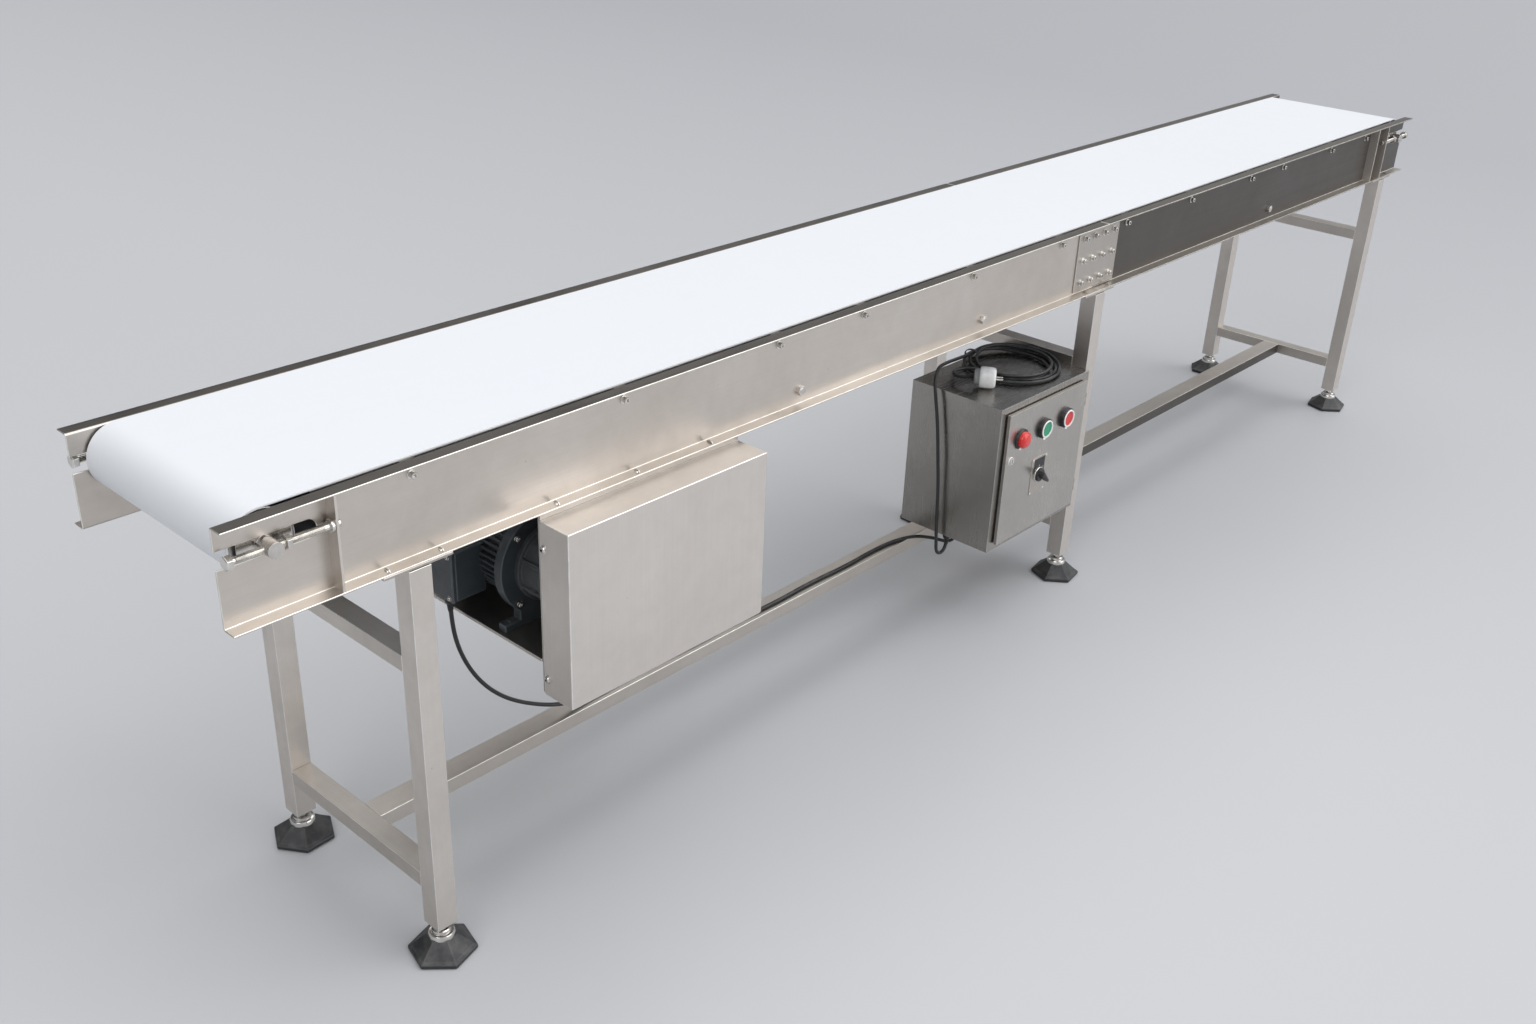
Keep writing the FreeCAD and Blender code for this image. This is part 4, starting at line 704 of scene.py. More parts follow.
def makeCoilTie():
    coilLow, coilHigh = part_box("supply_coil")
    middle = (coilLow + coilHigh) / 2
    angle = math.radians(108)
    out = Vector((math.cos(angle), math.sin(angle), 0))
    seat = middle + out * (cordValues["turnRadius"] - 0.001)
    ring = bmesh.new()
    bmesh.ops.create_circle(ring, segments=28, radius=1)
    bmesh.ops.scale(ring, vec=(0.0165, 0.0108, 1), verts=ring.verts)
    around = bmesh.ops.extrude_edge_only(ring, edges=ring.edges)["geom"]
    bmesh.ops.translate(ring, vec=(0, 0, 0.009), verts=onlyVerts(around))
    bmesh.ops.solidify(ring, geom=ring.faces, thickness=0.0016)
    bmesh.ops.recalc_face_normals(ring, faces=ring.faces)
    easeEdges(ring, 0.0004)
    side = out.cross(Vector((0, 0, 1)))
    turn = Matrix((out, Vector((0, 0, 1)), side)).transposed().to_4x4()
    shift = Matrix.Translation(seat + Vector((0, 0, -0.0035)) - side * 0.0045)
    moved(ring, shift @ turn)
    return addPiece(ring, "coilTie", "black", "frame")


plugPieces = makePlug()
coilTie = makeCoilTie()


# Cable glands: a hexagon against the wall, a domed nut and a ribbed tapered sleeve on the cord
def makeGlands(node, name, count):
    glands = bmesh.new()
    for low, high in solidBoxes(node)[:count]:
        middle = (low + high) / 2
        top = high.z
        hexagon = turned([(0, 0), (0, 0.011), (0.007, 0.011), (0.007, 0)], 6)
        easeEdges(hexagon, 0.0006)
        join(glands, place(hexagon, (middle.x, middle.y, top), "-z"))
        dome = turned([
            (0.006, 0), (0.006, 0.0098), (0.0135, 0.0098), (0.0165, 0.0088), (0.0185, 0.0074),
            (0.02, 0.0066),
            (0.0225, 0.0056), (0.0232, 0.0062), (0.0262, 0.0052), (0.0269, 0.0058), (0.03, 0.0048),
            (0.0307, 0.0053),
            (0.034, 0.0045), (0.036, 0.0041), (0.036, 0),
        ], 28)
        join(glands, place(dome, (middle.x, middle.y, top), "-z"))
    return addPiece(glands, name, "black", "frame", [node])


makeGlands("box_glands", "boxGlands", 2)
makeGlands("motor_gland", "motorGland", 1)
print("plug, tie and glands made")


# ---------- sheet and tube work ----------

steelWork = {
    # node: (finish, edge)
    "near_rails": ("stainless", 0.0011),
    "far_rails": ("stainless", 0.0011),
    "splice_plates": ("plate", 0.0007),
    "cross_ties": ("bed", 0.0012),
    "slider_bed": ("bed", 0.0006),
    "takeup_flanges": ("legs", 0.0006),
    "leg_posts": ("legs", 0.0022),
    "leg_plates": ("plate", 0.0008),
    "cross_tubes": ("tubes", 0.002),
    "floor_beams": ("stainless", 0.0022),
    "chain_cover": ("cover", 0.0016),
    "drive_side_plates": ("plate", 0.0008),
    "motor_shelf": ("plate", 0.001),
    "box_body": ("box", 0.0014),
    "box_door": ("door", 0.0012),
    "box_gasket": ("gasket", 0.0006),
    "selector_plate": ("plate", 0.0004),
    "tail_shaft": ("turned", 0.0008),
    "head_shaft": ("turned", 0.0008),
    "roller_axles": ("turned", 0.0008),
    "tail_roller": ("roller", 0.0008),
    "head_roller": ("roller", 0.0008),
    "return_roller_1": ("roller", 0.0006),
    "return_roller_2": ("roller", 0.0006),
    "return_roller_3": ("roller", 0.0006),
    "snub_roller_tail": ("roller", 0.0006),
    "snub_roller_head": ("roller", 0.0006),
    "drive_drum": ("roller", 0.0008),
    "motor_sprocket": ("turned", 0.0006),
    "drum_bearings": ("casting", 0.0015),
}


def partName(node):
    first, *rest = node.split("_")
    return first + "".join(word.capitalize() for word in rest) + "Part"


for node, (finish, edge) in steelWork.items():
    shape = cadCopy(node)
    easeEdges(shape, edge)
    addPiece(shape, partName(node), finish, bodyOf[node], [node])
print("sheet and tube work eased")


# ---------- screws ----------

screwValues = {"steps": 18, "socketDepth": 0.003}
screwKinds = {
    # kind: (washer radius, head radius, head height, socket radius, domed)
    "web": (0.008, 0.0055, 0.008, 0.003),
    "flange": (0.0085, 0.0065, 0.009, 0.0034),
    "motorFoot": (0.009, 0.007, 0.005, 0.0036),
    "cover": (0.008, 0.0062, 0.0036, 0.0022, True),
    "lid": (0.0046, 0.0038, 0.003, 0.0018),
    "bell": (0.0065, 0.0052, 0.0055, 0.0026),
    "block": (0.0032, 0.0028, 0.0016, 0.0014),
    "drive": (0.0036, 0.0032, 0.0016, 0.0016),
    "switch": (0.004, 0.0036, 0.0018, 0.0016),
    "terminal": (0.0024, 0.0021, 0.001, 0.0011),
}


# A cap screw whose washer sits at z = 0 and whose head goes along +z
def capScrew(washer, head, height, socket, domed=False):
    shape = turned([(0, 0), (0, washer), (0.0012, washer), (0.0015, washer - 0.0006), (0.0015, 0)], 22)
    if domed:
        crown = turned([
            (0.0013, 0), (0.0013, head), (0.0013 + height * 0.3, head),
            (0.0013 + height * 0.72, head * 0.82),
            (0.0013 + height, head * 0.45), (0.0013 + height, 0),
        ], screwValues["steps"])
    else:
        crown = turned([
            (0.0013, 0), (0.0013, head), (0.0005 + height, head), (0.0013 + height, head - 0.0008),
            (0.0013 + height, 0),
        ], screwValues["steps"])
    top = [f for f in crown.faces if f.normal.z > 0.95 and f.calc_center_median().z > height * 0.9]
    merged = bmesh.ops.dissolve_faces(crown, faces=top)["region"]
    bmesh.ops.inset_region(crown, faces=merged, thickness=head - socket * 1.12, use_even_offset=True)
    floorFace = [f for f in merged if f.is_valid]
    for vert in {v for f in floorFace for v in f.verts}:
        angle = math.atan2(vert.co.y, vert.co.x)
        sector = (angle + math.radians(30)) % math.radians(60) - math.radians(30)
        reach = socket * 0.9 / math.cos(sector)
        vert.co.x, vert.co.y = reach * math.cos(angle), reach * math.sin(angle)
    bmesh.ops.inset_region(crown, faces=floorFace, thickness=0.0001, depth=-screwValues["socketDepth"])
    bmesh.ops.recalc_face_normals(crown, faces=crown.faces)
    join(shape, crown)
    return shape


def makeWebBolts():
    screws = bmesh.new()
    kind = capScrew(*screwKinds["web"])
    spots = []
    for index, (low, high) in enumerate(solidBoxes("web_bolts")):
        middle = (low + high) / 2
        outward = -1 if middle.y < 0 else 1
        washerTop = low.y if outward < 0 else high.y
        tall = 0.0095 if high.y - low.y < 0.0176 and high.x - low.x > 0.0155 else 0.0075
        seat = Vector((middle.x, washerTop - outward * tall, middle.z))
        spots.append(lookingAt(seat, "-y" if outward < 0 else "y", index * 0.7))
    stamp(screws, kind, spots)
    kind.free()
    return addPiece(screws, "webBolts", "bright", "frame", ["web_bolts"], 35)


def makeFrameBolts():
    screws = bmesh.new()
    small = capScrew(*screwKinds["flange"])
    large = capScrew(*screwKinds["motorFoot"])
    pan = capScrew(*screwKinds["cover"])
    lockNut = turned([(0, 0), (0, 0.0062), (0.005, 0.0062), (0.0055, 0.0045), (0.0055, 0)], 6)
    easeEdges(lockNut, 0.0005)
    places = {"small": [], "large": [], "pan": [], "nut": []}
    for index, (low, high) in enumerate(solidBoxes("frame_bolts")):
        middle = (low + high) / 2
        span = high - low
        if span.x < span.z - 0.001:
            outward = "-x" if middle.x < -1.2 else "x"
            seatX = high.x - 0.007 if outward == "-x" else low.x + 0.007
            places["pan"].append(lookingAt(Vector((seatX, middle.y, middle.z)), outward, index * 0.9))
        elif span.x > 0.0175:
            places["large"].append(lookingAt(
                Vector((middle.x, middle.y, high.z - 0.0065)), "z", index * 0.5,
            ))
        else:
            places["small"].append(lookingAt(
                Vector((middle.x, middle.y, high.z - 0.0105)), "z", index * 0.5,
            ))
            places["nut"].append(lookingAt(Vector((middle.x, middle.y, low.z + 0.0055)), "-z", index * 0.4))
    for kind, name in ((small, "small"), (large, "large"), (pan, "pan"), (lockNut, "nut")):
        stamp(screws, kind, places[name])
        kind.free()
    return addPiece(screws, "frameBolts", "bright", "frame", ["frame_bolts"], 35)


makeWebBolts()
makeFrameBolts()
print("screws made")


# Tension screws: hexagon head, a thread made of rings and a plain collar
threadValues = {"pitch": 0.0015, "depth": 0.0009, "steps": 22}


def threadProfile(start, end, radius):
    profile = []
    along = start
    while along < end:
        profile.append((along, radius - threadValues["depth"]))
        profile.append((along + threadValues["pitch"] * 0.45, radius))
        profile.append((along + threadValues["pitch"] * 0.6, radius))
        along += threadValues["pitch"]
    return profile


tensionValues = {
    "radius": 0.006, "headRadius": 0.0118, "headLength": 0.01, "collarRadius": 0.0108, "collarLength": 0.005,
    "collarFromEnd": 0.0173,
}


def makeTensionScrew(node):
    low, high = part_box(node)
    middle = (low + high) / 2
    reach = high.x - low.x
    way = "x" if middle.x < 0 else "-x"
    outer = low.x if middle.x < 0 else high.x
    t = tensionValues
    radius, headEnd = t["radius"], t["headLength"]
    rod = turned(
        [(headEnd - 0.002, 0), (headEnd - 0.002, radius), (headEnd + 0.004, radius)]
        + threadProfile(headEnd + 0.006, reach - 0.026, radius)
        + [(reach - 0.024, radius), (reach - 0.001, radius), (reach, radius - 0.001), (reach, 0)],
        threadValues["steps"],
    )
    head = turned([
        (0, 0), (0, t["headRadius"] - 0.002), (0.0012, t["headRadius"]), (headEnd, t["headRadius"]),
        (headEnd, 0),
    ], 6)
    easeEdges(head, 0.0006)
    join(rod, head)
    at, wide, long = reach - t["collarFromEnd"], t["collarRadius"], t["collarLength"]
    collar = turned([
        (at, radius - 0.0005), (at, wide - 0.0006), (at + 0.0006, wide), (at + long - 0.0006, wide),
        (at + long, wide - 0.0006), (at + long, radius - 0.0005),
    ], 32)
    join(rod, collar)
    place(rod, (outer, middle.y, middle.z), way)
    return addPiece(rod, partName(node), "screwSteel", bodyOf[node], [node])


for end in ("tail", "head"):
    for side in ("near", "far"):
        makeTensionScrew(end + "_screw_" + side)
print("tension screws made")


# ---------- feet ----------

footValues = {
    "radius": 0.06, "rim": 0.009, "neck": 0.027, "height": 0.035, "soft": 0.0035, "cup": 0.023,
    "nutRadius": 0.014,
    "studRadius": 0.008,
}


def makeFoot(node):
    low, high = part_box(node)
    mesh = nodes[node].data
    lowest = [v.co for v in mesh.vertices if v.co.z < low.z + 0.001]
    centre = Vector(((low.x + high.x) / 2, (low.y + high.y) / 2, 0))
    farthest = max(lowest, key=lambda v: (v.xy - centre.xy).length)
    turn = math.atan2(farthest.y - centre.y, farthest.x - centre.x)
    f = footValues
    pad = turned([
        (0, 0), (0, f["radius"] - 0.003), (0.002, f["radius"]), (f["rim"], f["radius"]),
        (f["rim"] + 0.003, f["radius"] - 0.006), (f["height"] - 0.004, f["neck"] + 0.004),
        (f["height"], f["neck"] - 0.001), (f["height"], 0),
    ], 6)
    easeEdges(pad, f["soft"], 3, 12)
    place(pad, (centre.x, centre.y, low.z), "z", turn)
    addPiece(pad, partName(node) + "Pad", "rubber", bodyOf[node], [node], 60)
    steel = turned([
        (0.033, 0), (0.033, f["cup"]), (0.0405, f["cup"]), (0.0435, f["cup"] - 0.002),
        (0.0442, f["cup"] - 0.005),
        (0.0442, 0.0172), (0.0495, 0.0165), (0.051, 0.0145), (0.051, 0.0095), (0.0515, 0.0075),
    ] + threadProfile(0.0525, 0.0625, f["studRadius"]) + [
        (0.064, 0.0075), (high.z - low.z, 0.0075), (high.z - low.z, 0),
    ], 36)
    nut = turned([
        (0.0547, 0.006), (0.0547, 0.0122), (0.0557, f["nutRadius"]), (0.0607, f["nutRadius"]),
        (0.0617, 0.0122),
        (0.0617, 0.006),
    ], 6)
    easeEdges(nut, 0.0005)
    join(steel, nut)
    place(steel, (centre.x, centre.y, low.z))
    addPiece(steel, partName(node) + "Stud", "bright", bodyOf[node], (), 35)


for leg in ("tail", "middle", "head"):
    for side in ("near", "far"):
        makeFoot("foot_" + leg + "_" + side)
print("feet made")

# ---------- operators on the door ----------

operatorValues = {
    "bezel": 0.0245, "buttonMouth": 0.0178, "lampMouth": 0.0203, "whiteRing": 0.0212, "deepest": 0.009,
    "steps": 56,
}


def faceOfDoor():
    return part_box("selector_plate")[1].y


def makeOperators():
    front = faceOfDoor()
    o = operatorValues
    bezels, rings, tabs, blocks, screws = bmesh.new(), bmesh.new(), bmesh.new(), bmesh.new(), bmesh.new()
    for low, high in solidBoxes("operator_bodies"):
        middle = (low + high) / 2
        depth = front - low.y
        centre = Vector((middle.x, front, middle.z))
        if depth > 0.004:
            isLamp = depth < o["deepest"]
            mouth = o["lampMouth"] if isLamp else o["buttonMouth"]
            bezel = turned([
                (0, mouth), (0, o["bezel"]), (depth - 0.0035, o["bezel"]),
                (depth - 0.0012, o["bezel"] - 0.0008),
                (depth, o["bezel"] - 0.0024), (depth, mouth + 0.0004), (depth - 0.0006, mouth),
            ], o["steps"], True)
            for notch in range(4):
                angle = math.radians(45 + 90 * notch)
                nub = slab((-0.0016, -0.0007, 0.0006), (0.0016, 0.0007, depth - 0.003), 0.0003)
                reach = o["bezel"] + 0.0001
                spot = (reach * math.cos(angle), reach * math.sin(angle), 0)
                turn = Matrix.Translation(spot) @ Matrix.Rotation(angle + math.pi / 2, 4, "Z")
                join(bezel, moved(nub, turn))
            join(bezels, place(bezel, centre, "-y"))
            if not isLamp:
                ring = turned([
                    (depth - 0.002, mouth - 0.0001), (depth - 0.002, o["whiteRing"] + 0.0006),
                    (depth + 0.001, o["whiteRing"]), (depth + 0.0015, o["whiteRing"] - 0.0006),
                    (depth + 0.0015, mouth + 0.0003), (depth + 0.001, mouth - 0.0001),
                ], o["steps"], True)
                join(rings, place(ring, centre, "-y"))
            tab = slab((-0.005, -0.0026, 0), (0.005, 0.0026, 0.0012), 0.0004)
            join(tabs, place(
                tab, (centre.x - 0.0085, front - depth + 0.0008, centre.z - 0.0212), "-y", -0.38,
            ))
        # contact block behind the door, with its plunger guide, nut and terminal screws
        isSelector = depth <= 0.004
        blockLow = Vector((middle.x - 0.015, front + (0.008 if isSelector else 0.02), middle.z - 0.015))
        blockHigh = Vector((middle.x + 0.015, high.y, middle.z + 0.015))
        join(blocks, slab(blockLow, blockHigh, 0.0012))
        neck = turned([(-0.001, 0.0), (-0.001, 0.0106), (0.021, 0.0106), (0.021, 0.0)], 32)
        join(blocks, place(neck, centre, "y"))
        nutRing = turned([(0.0025, 0.0106), (0.0025, 0.0148), (0.0072, 0.0148), (0.0072, 0.0106)], 12)
        easeEdges(nutRing, 0.0005)
        join(blocks, place(nutRing, centre, "y"))
        for across in (-1, 1):
            for up in (-1, 1):
                screw = capScrew(*screwKinds["block"])
                spot = Vector((middle.x + across * 0.0085, high.y - 0.0008, middle.z + up * 0.0085))
                join(screws, place(screw, spot, "y"))
    addPiece(bezels, "operatorBezels", "black", "box_door", ["operator_bodies"])
    addPiece(rings, "buttonRings", "white", "box_door")
    addPiece(tabs, "bezelTabs", "white", "box_door")
    addPiece(blocks, "contactBlocks", "grey", "box_door")
    addPiece(screws, "terminalScrews", "bright", "box_door")


def makeButton(node, finish):
    low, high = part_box(node)
    middle = (low + high) / 2
    deep = high.y - low.y
    radius = (high.z - low.z) / 2 - 0.0002
    cap = turned([
        (0, 0), (0, radius), (deep - 0.0012, radius), (deep - 0.0004, radius - 0.0005),
        (deep, radius - 0.0014),
        (deep - 0.0002, radius - 0.0024), (deep - 0.001, radius - 0.0034), (deep - 0.0011, radius * 0.46),
        (deep - 0.0009, 0.0),
    ], 56)
    place(cap, (middle.x, high.y, middle.z), "-y")
    addPiece(cap, partName(node), finish, bodyOf[node], [node], 50)


def makeLamp():
    low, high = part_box("indicator_lamp")
    middle = (low + high) / 2
    radius = (high.z - low.z) / 2
    deep = high.y - low.y
    rim = deep * 0.42
    profile = [(0, 0), (0, radius), (rim, radius)]
    for step in range(1, 9):
        angle = math.radians(step * 11.25)
        profile.append(
            (rim + (deep - rim) * math.sin(angle), radius * math.cos(angle) ** 0.55 if step < 8 else 0.0),
        )
    lens = turned(profile, 56)
    for vert in lens.verts:
        reach = math.hypot(vert.co.x, vert.co.y)
        if reach > radius * 0.97:
            angle = math.atan2(vert.co.y, vert.co.x)
            ripple = 1 - 0.008 * (0.5 + 0.5 * math.cos(angle * 28))
            vert.co.x *= ripple
            vert.co.y *= ripple
    place(lens, (middle.x, high.y, middle.z), "-y")
    addPiece(lens, "indicatorLampPart", "lens", "box_door", ["indicator_lamp"], 50)


def makeLock():
    low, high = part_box("door_lock")
    shape = cadCopy("door_lock")
    easeEdges(shape, 0.0005)
    addPiece(shape, "doorLockPart", "bright", "door_lock", ["door_lock"])
    front = faceOfDoor()
    middle = (low + high) / 2
    ring = turned([
        (0, 0.0083), (0, 0.0102), (0.0012, 0.01), (0.002, 0.0094), (0.0022, 0.0089), (0.0016, 0.0084),
    ], 40, True)
    place(ring, (middle.x, front, high.z - 0.008), "-y")
    addPiece(ring, "lockRosette", "white", "box_door")


selectorValues = {"gripDown": 0.025, "gripUp": 0.017, "gripTurn": 45}


def makeSelector():
    low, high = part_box("selector_plate")
    middle = (low + high) / 2
    label = slab(
        (middle.x - 0.0215, low.y - 0.0006, middle.z + 0.006), (middle.x + 0.0215, low.y, high.z - 0.005),
        0.0003,
    )
    addPiece(label, "selectorLabel", "black", "box_door")
    marks = bmesh.new()
    for degrees in (-45, 0, 45):
        angle = math.radians(90 - degrees)
        tick = slab((-0.0022, -0.0005, 0), (0.0022, 0.0005, 0.0004), 0.0001)
        spot = (middle.x + 0.0225 * math.cos(angle), low.y - 0.0006, middle.z + 0.0225 * math.sin(angle))
        turn = Matrix.Translation(spot) @ towards["-y"] @ Matrix.Rotation(-angle, 4, "Z")
        join(marks, moved(tick, turn))
    for across in (-1, 1):
        for up in (-1, 1):
            rivet = turned([(0, 0), (0, 0.0022), (0.0006, 0.0019), (0.0009, 0.001), (0.001, 0)], 18)
            join(marks, place(rivet, (middle.x + across * 0.0265, low.y, middle.z + up * 0.0425), "-y"))
    addPiece(marks, "selectorMarks", "white", "box_door")
    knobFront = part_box("selector_knob")[0].y
    back = faceOfDoor() - 0.0018
    knobMiddle = Vector((middle.x, 0, middle.z))
    collar = turned([
        (0, 0.0168), (0, 0.0192), (0.0024, 0.0188), (0.0032, 0.0178), (0.0032, 0.0168),
    ], 56, True)
    place(collar, (knobMiddle.x, back + 0.0003, knobMiddle.z), "-y")
    addPiece(collar, "selectorCollar", "bright", "box_door")
    depth = back - knobFront
    base = turned([
        (0, 0), (0, 0.0165), (0.0062, 0.0165), (0.0078, 0.0155), (0.0084, 0.0135), (0.0084, 0),
    ], 56)
    place(base, (knobMiddle.x, back, knobMiddle.z), "-y")
    down, up = selectorValues["gripDown"], selectorValues["gripUp"]
    lever = slab((-0.0042, -down, 0.006), (0.0042, up, depth), 0.0018, 3)
    for vert in lever.verts:
        if vert.co.y < -0.006:
            narrowing = (-vert.co.y - 0.006) / (down - 0.006)
            vert.co.x *= 1 - 0.35 * narrowing
            vert.co.z -= 0.004 * narrowing if vert.co.z > 0.012 else 0
    place(lever, (knobMiddle.x, back, knobMiddle.z), "-y", math.radians(selectorValues["gripTurn"]))
    join(base, lever)
    addPiece(
        base, "selectorKnobPart", "black", "selector_knob", ["selector_knob"], 45,
    )


makeOperators()
makeButton("green_button", "green")
makeButton("red_button", "red")
makeLamp()
makeLock()
makeSelector()
print("door operators made")


# ---------- belt ----------

beltValues = {"arcStep": 4.0, "edge": 0.0006, "thick": 0.003}


# Where a straight run touches round rollers, with the signed radius of each
def loopPoints(rounds, arcStep):
    count = len(rounds)
    headings = []
    for index, (x1, z1, r1) in enumerate(rounds):
        x2, z2, r2 = rounds[(index + 1) % count]
        reach = math.hypot(x2 - x1, z2 - z1)
        headings.append(math.atan2(z2 - z1, x2 - x1) - math.asin((r2 - r1) / reach))
    points = []
    for index, (x, z, radius) in enumerate(rounds):
        came = headings[index - 1]
        sweep = (headings[index] - came) % (2 * math.pi)
        if radius < 0:
            sweep -= 2 * math.pi
        steps = max(2, round(abs(math.degrees(sweep)) / arcStep))
        for step in range(steps + 1):
            heading = came + sweep * step / steps
            points.append((x + radius * math.sin(heading), z - radius * math.cos(heading)))
    return points


def rollerAt(node):
    low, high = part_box(node)
    middle = (low + high) / 2
    return middle.x, middle.z, (high.x - low.x) / 2


# The rollers in the order that the belt meets them, and whether each lies inside its loop
beltRun = [
    ("tail_roller", True), ("head_roller", True), ("return_roller_1", False), ("snub_roller_head", False),
    ("drive_drum", True), ("snub_roller_tail", False),
]


def makeBelt():
    low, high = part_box("belt")
    thick = beltValues["thick"]
    clear = high.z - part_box("tail_roller")[1].z - thick
    rounds = []
    for node, inside in beltRun:
        x, z, radius = rollerAt(node)
        rounds.append((x, z, -(radius + clear + thick) if inside else radius + clear))
    path = loopPoints(rounds, beltValues["arcStep"])
    shape = bmesh.new()
    verts = [shape.verts.new((px, low.y, pz)) for px, pz in path]
    for pair in zip(verts, verts[1:] + verts[:1]):
        shape.edges.new(pair)
    bmesh.ops.remove_doubles(shape, verts=shape.verts, dist=0.00001)
    swept = bmesh.ops.extrude_edge_only(shape, edges=list(shape.edges))["geom"]
    bmesh.ops.translate(shape, vec=(0, high.y - low.y, 0), verts=onlyVerts(swept))
    bmesh.ops.recalc_face_normals(shape, faces=shape.faces)
    top = max(shape.faces, key=lambda f: f.calc_center_median().z)
    if top.normal.z < 0:
        bmesh.ops.reverse_faces(shape, faces=shape.faces)
    bmesh.ops.solidify(shape, geom=shape.faces, thickness=thick)
    easeEdges(shape, beltValues["edge"], 2, 60)
    addPiece(shape, "beltPart", "belt", "frame", ["belt"], 40)


makeBelt()
print("belt made")

# ---------- roller chain ----------

chainValues = {
    "pitch": 0.0127, "plate": 0.0014, "tall": 0.0052, "waist": 0.0042, "inner": 0.0034, "outer": 0.0052,
    "pinionRadius": 0.03, "drumRadius": 0.046, "aboveWheel": 0.0058, "arcStep": 3.0,
}


def walk(path, count):
    # evenly spaced places round a closed path
    ring = [Vector((x, 0, z)) for x, z in path]
    ring.append(ring[0])
    total = sum((b - a).length for a, b in zip(ring, ring[1:]))
    gap = total / count
    places, travelled, wanted = [], 0.0, 0.0
    for a, b in zip(ring, ring[1:]):
        run = (b - a).length
        while wanted < travelled + run and len(places) < count:
            places.append(a + (b - a) * ((wanted - travelled) / run))
            wanted += gap
        travelled += run
    return places


def linkPlate(long):
    c = chainValues
    half = long / 2
    outline = []
    for end in (1, -1):
        for step in range(7):
            angle = math.radians(-72 + 24 * step)
            outline.append((end * (half + c["tall"] * math.cos(angle)), end * c["tall"] * math.sin(angle)))
        outline.append((0.0, end * c["waist"]))
    shape = bmesh.new()
    face = shape.faces.new([shape.verts.new((x, -c["plate"] / 2, z)) for x, z in outline])
    grown = bmesh.ops.extrude_face_region(shape, geom=[face])["geom"]
    bmesh.ops.translate(shape, vec=(0, c["plate"], 0), verts=onlyVerts(grown))
    bmesh.ops.recalc_face_normals(shape, faces=shape.faces)
    return shape


def makeChain():
    low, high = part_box("chain")
    middle = (low.y + high.y) / 2
    pinion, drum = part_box("motor_sprocket"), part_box("drive_drum")
    wheels = []
    for (a, b), radius in ((pinion, chainValues["pinionRadius"]), (drum, chainValues["drumRadius"])):
        centre = (a + b) / 2
        wheels.append((centre.x, centre.z, -(radius + chainValues["aboveWheel"])))
    path = loopPoints(wheels, chainValues["arcStep"])
    rough = [Vector((x, 0, z)) for x, z in path]
    total = sum((b - a).length for a, b in zip(rough, rough[1:] + rough[:1]))
    count = 2 * round(total / chainValues["pitch"] / 2)
    pins = walk(path, count)
    plate = linkPlate(total / count)
    roller = turned([(-0.0027, 0), (-0.0027, 0.0042), (0.0027, 0.0042), (0.0027, 0)], 14)
    pin = turned([(-0.0062, 0), (-0.0062, 0.0018), (0.0062, 0.0018), (0.0062, 0)], 10)
    plates, rollers = [], []
    for index, (a, b) in enumerate(zip(pins, pins[1:] + pins[:1])):
        lean = Matrix.Rotation(-math.atan2(b.z - a.z, b.x - a.x), 4, "Y")
        centre = (a + b) / 2
        out = chainValues["inner"] if index % 2 else chainValues["outer"]
        for side in (-1, 1):
            plates.append(Matrix.Translation((centre.x, middle + side * out, centre.z)) @ lean)
        rollers.append(Matrix.Translation((a.x, middle, a.z)) @ towards["y"])
    shape = bmesh.new()
    stamp(shape, plate, plates)
    stamp(shape, roller, rollers)
    stamp(shape, pin, rollers)
    for made in (plate, roller, pin):
        made.free()
    addPiece(shape, "rollerChain", "chain", "frame", ["chain"], 35)


makeChain()
print("chain made")


# ---------- gear motor ----------

motorValues = {
    "fins": 44, "finRoot": 0.0735, "finTip": 0.084, "finShare": 0.36, "cowl": 0.088,
    "guardRings": (0.022, 0.036, 0.05, 0.064), "spokes": 6, "blades": 7, "bladeLean": 24, "bellBolts": 4,
    "bellCircle": 0.09, "headBolts": 8, "headCircle": 0.06, "boss": 0.02, "belowTop": 0.1,
}


# A flat outline in x and y, drawn out along z
def drawnOut(outline, length):
    shape = bmesh.new()
    face = shape.faces.new([shape.verts.new((x, y, 0)) for x, y in outline])
    grown = bmesh.ops.extrude_face_region(shape, geom=[face])["geom"]
    bmesh.ops.translate(shape, vec=(0, 0, length), verts=onlyVerts(grown))
    bmesh.ops.recalc_face_normals(shape, faces=shape.faces)
    return shape


def aroundCircle(count, radius, start=0.0):
    for index in range(count):
        angle = start + 2 * math.pi * index / count
        yield angle, radius * math.cos(angle), radius * math.sin(angle)


def spokesInto(target, count, spoke, start=0.0, tilt=0.0):
    for angle, _x, _y in aroundCircle(count, 1.0, start):
        arm = slab(*spoke)
        turn = Matrix.Rotation(angle, 4, "Z")
        if tilt:
            turn = turn @ Matrix.Rotation(math.radians(tilt), 4, "X")
        join(target, moved(arm, turn))


def makeMotorFins(axis, start, end):
    m = motorValues
    outline = []
    half = math.pi / m["fins"]
    for angle, _x, _y in aroundCircle(m["fins"], 1.0):
        for offset, radius in (
            (-1.35, m["finRoot"]), (-1, m["finTip"]), (1, m["finTip"]), (1.35, m["finRoot"]),
        ):
            turn = angle + offset * m["finShare"] * half
            outline.append((radius * math.cos(turn), radius * math.sin(turn)))
    shell = drawnOut(outline, end - start)
    easeEdges(shell, 0.0005, 1, 50)
    place(shell, (axis.x, start, axis.z), "y")
    addPiece(shell, "motorFins", "motor", "frame", ["motor_shell"])


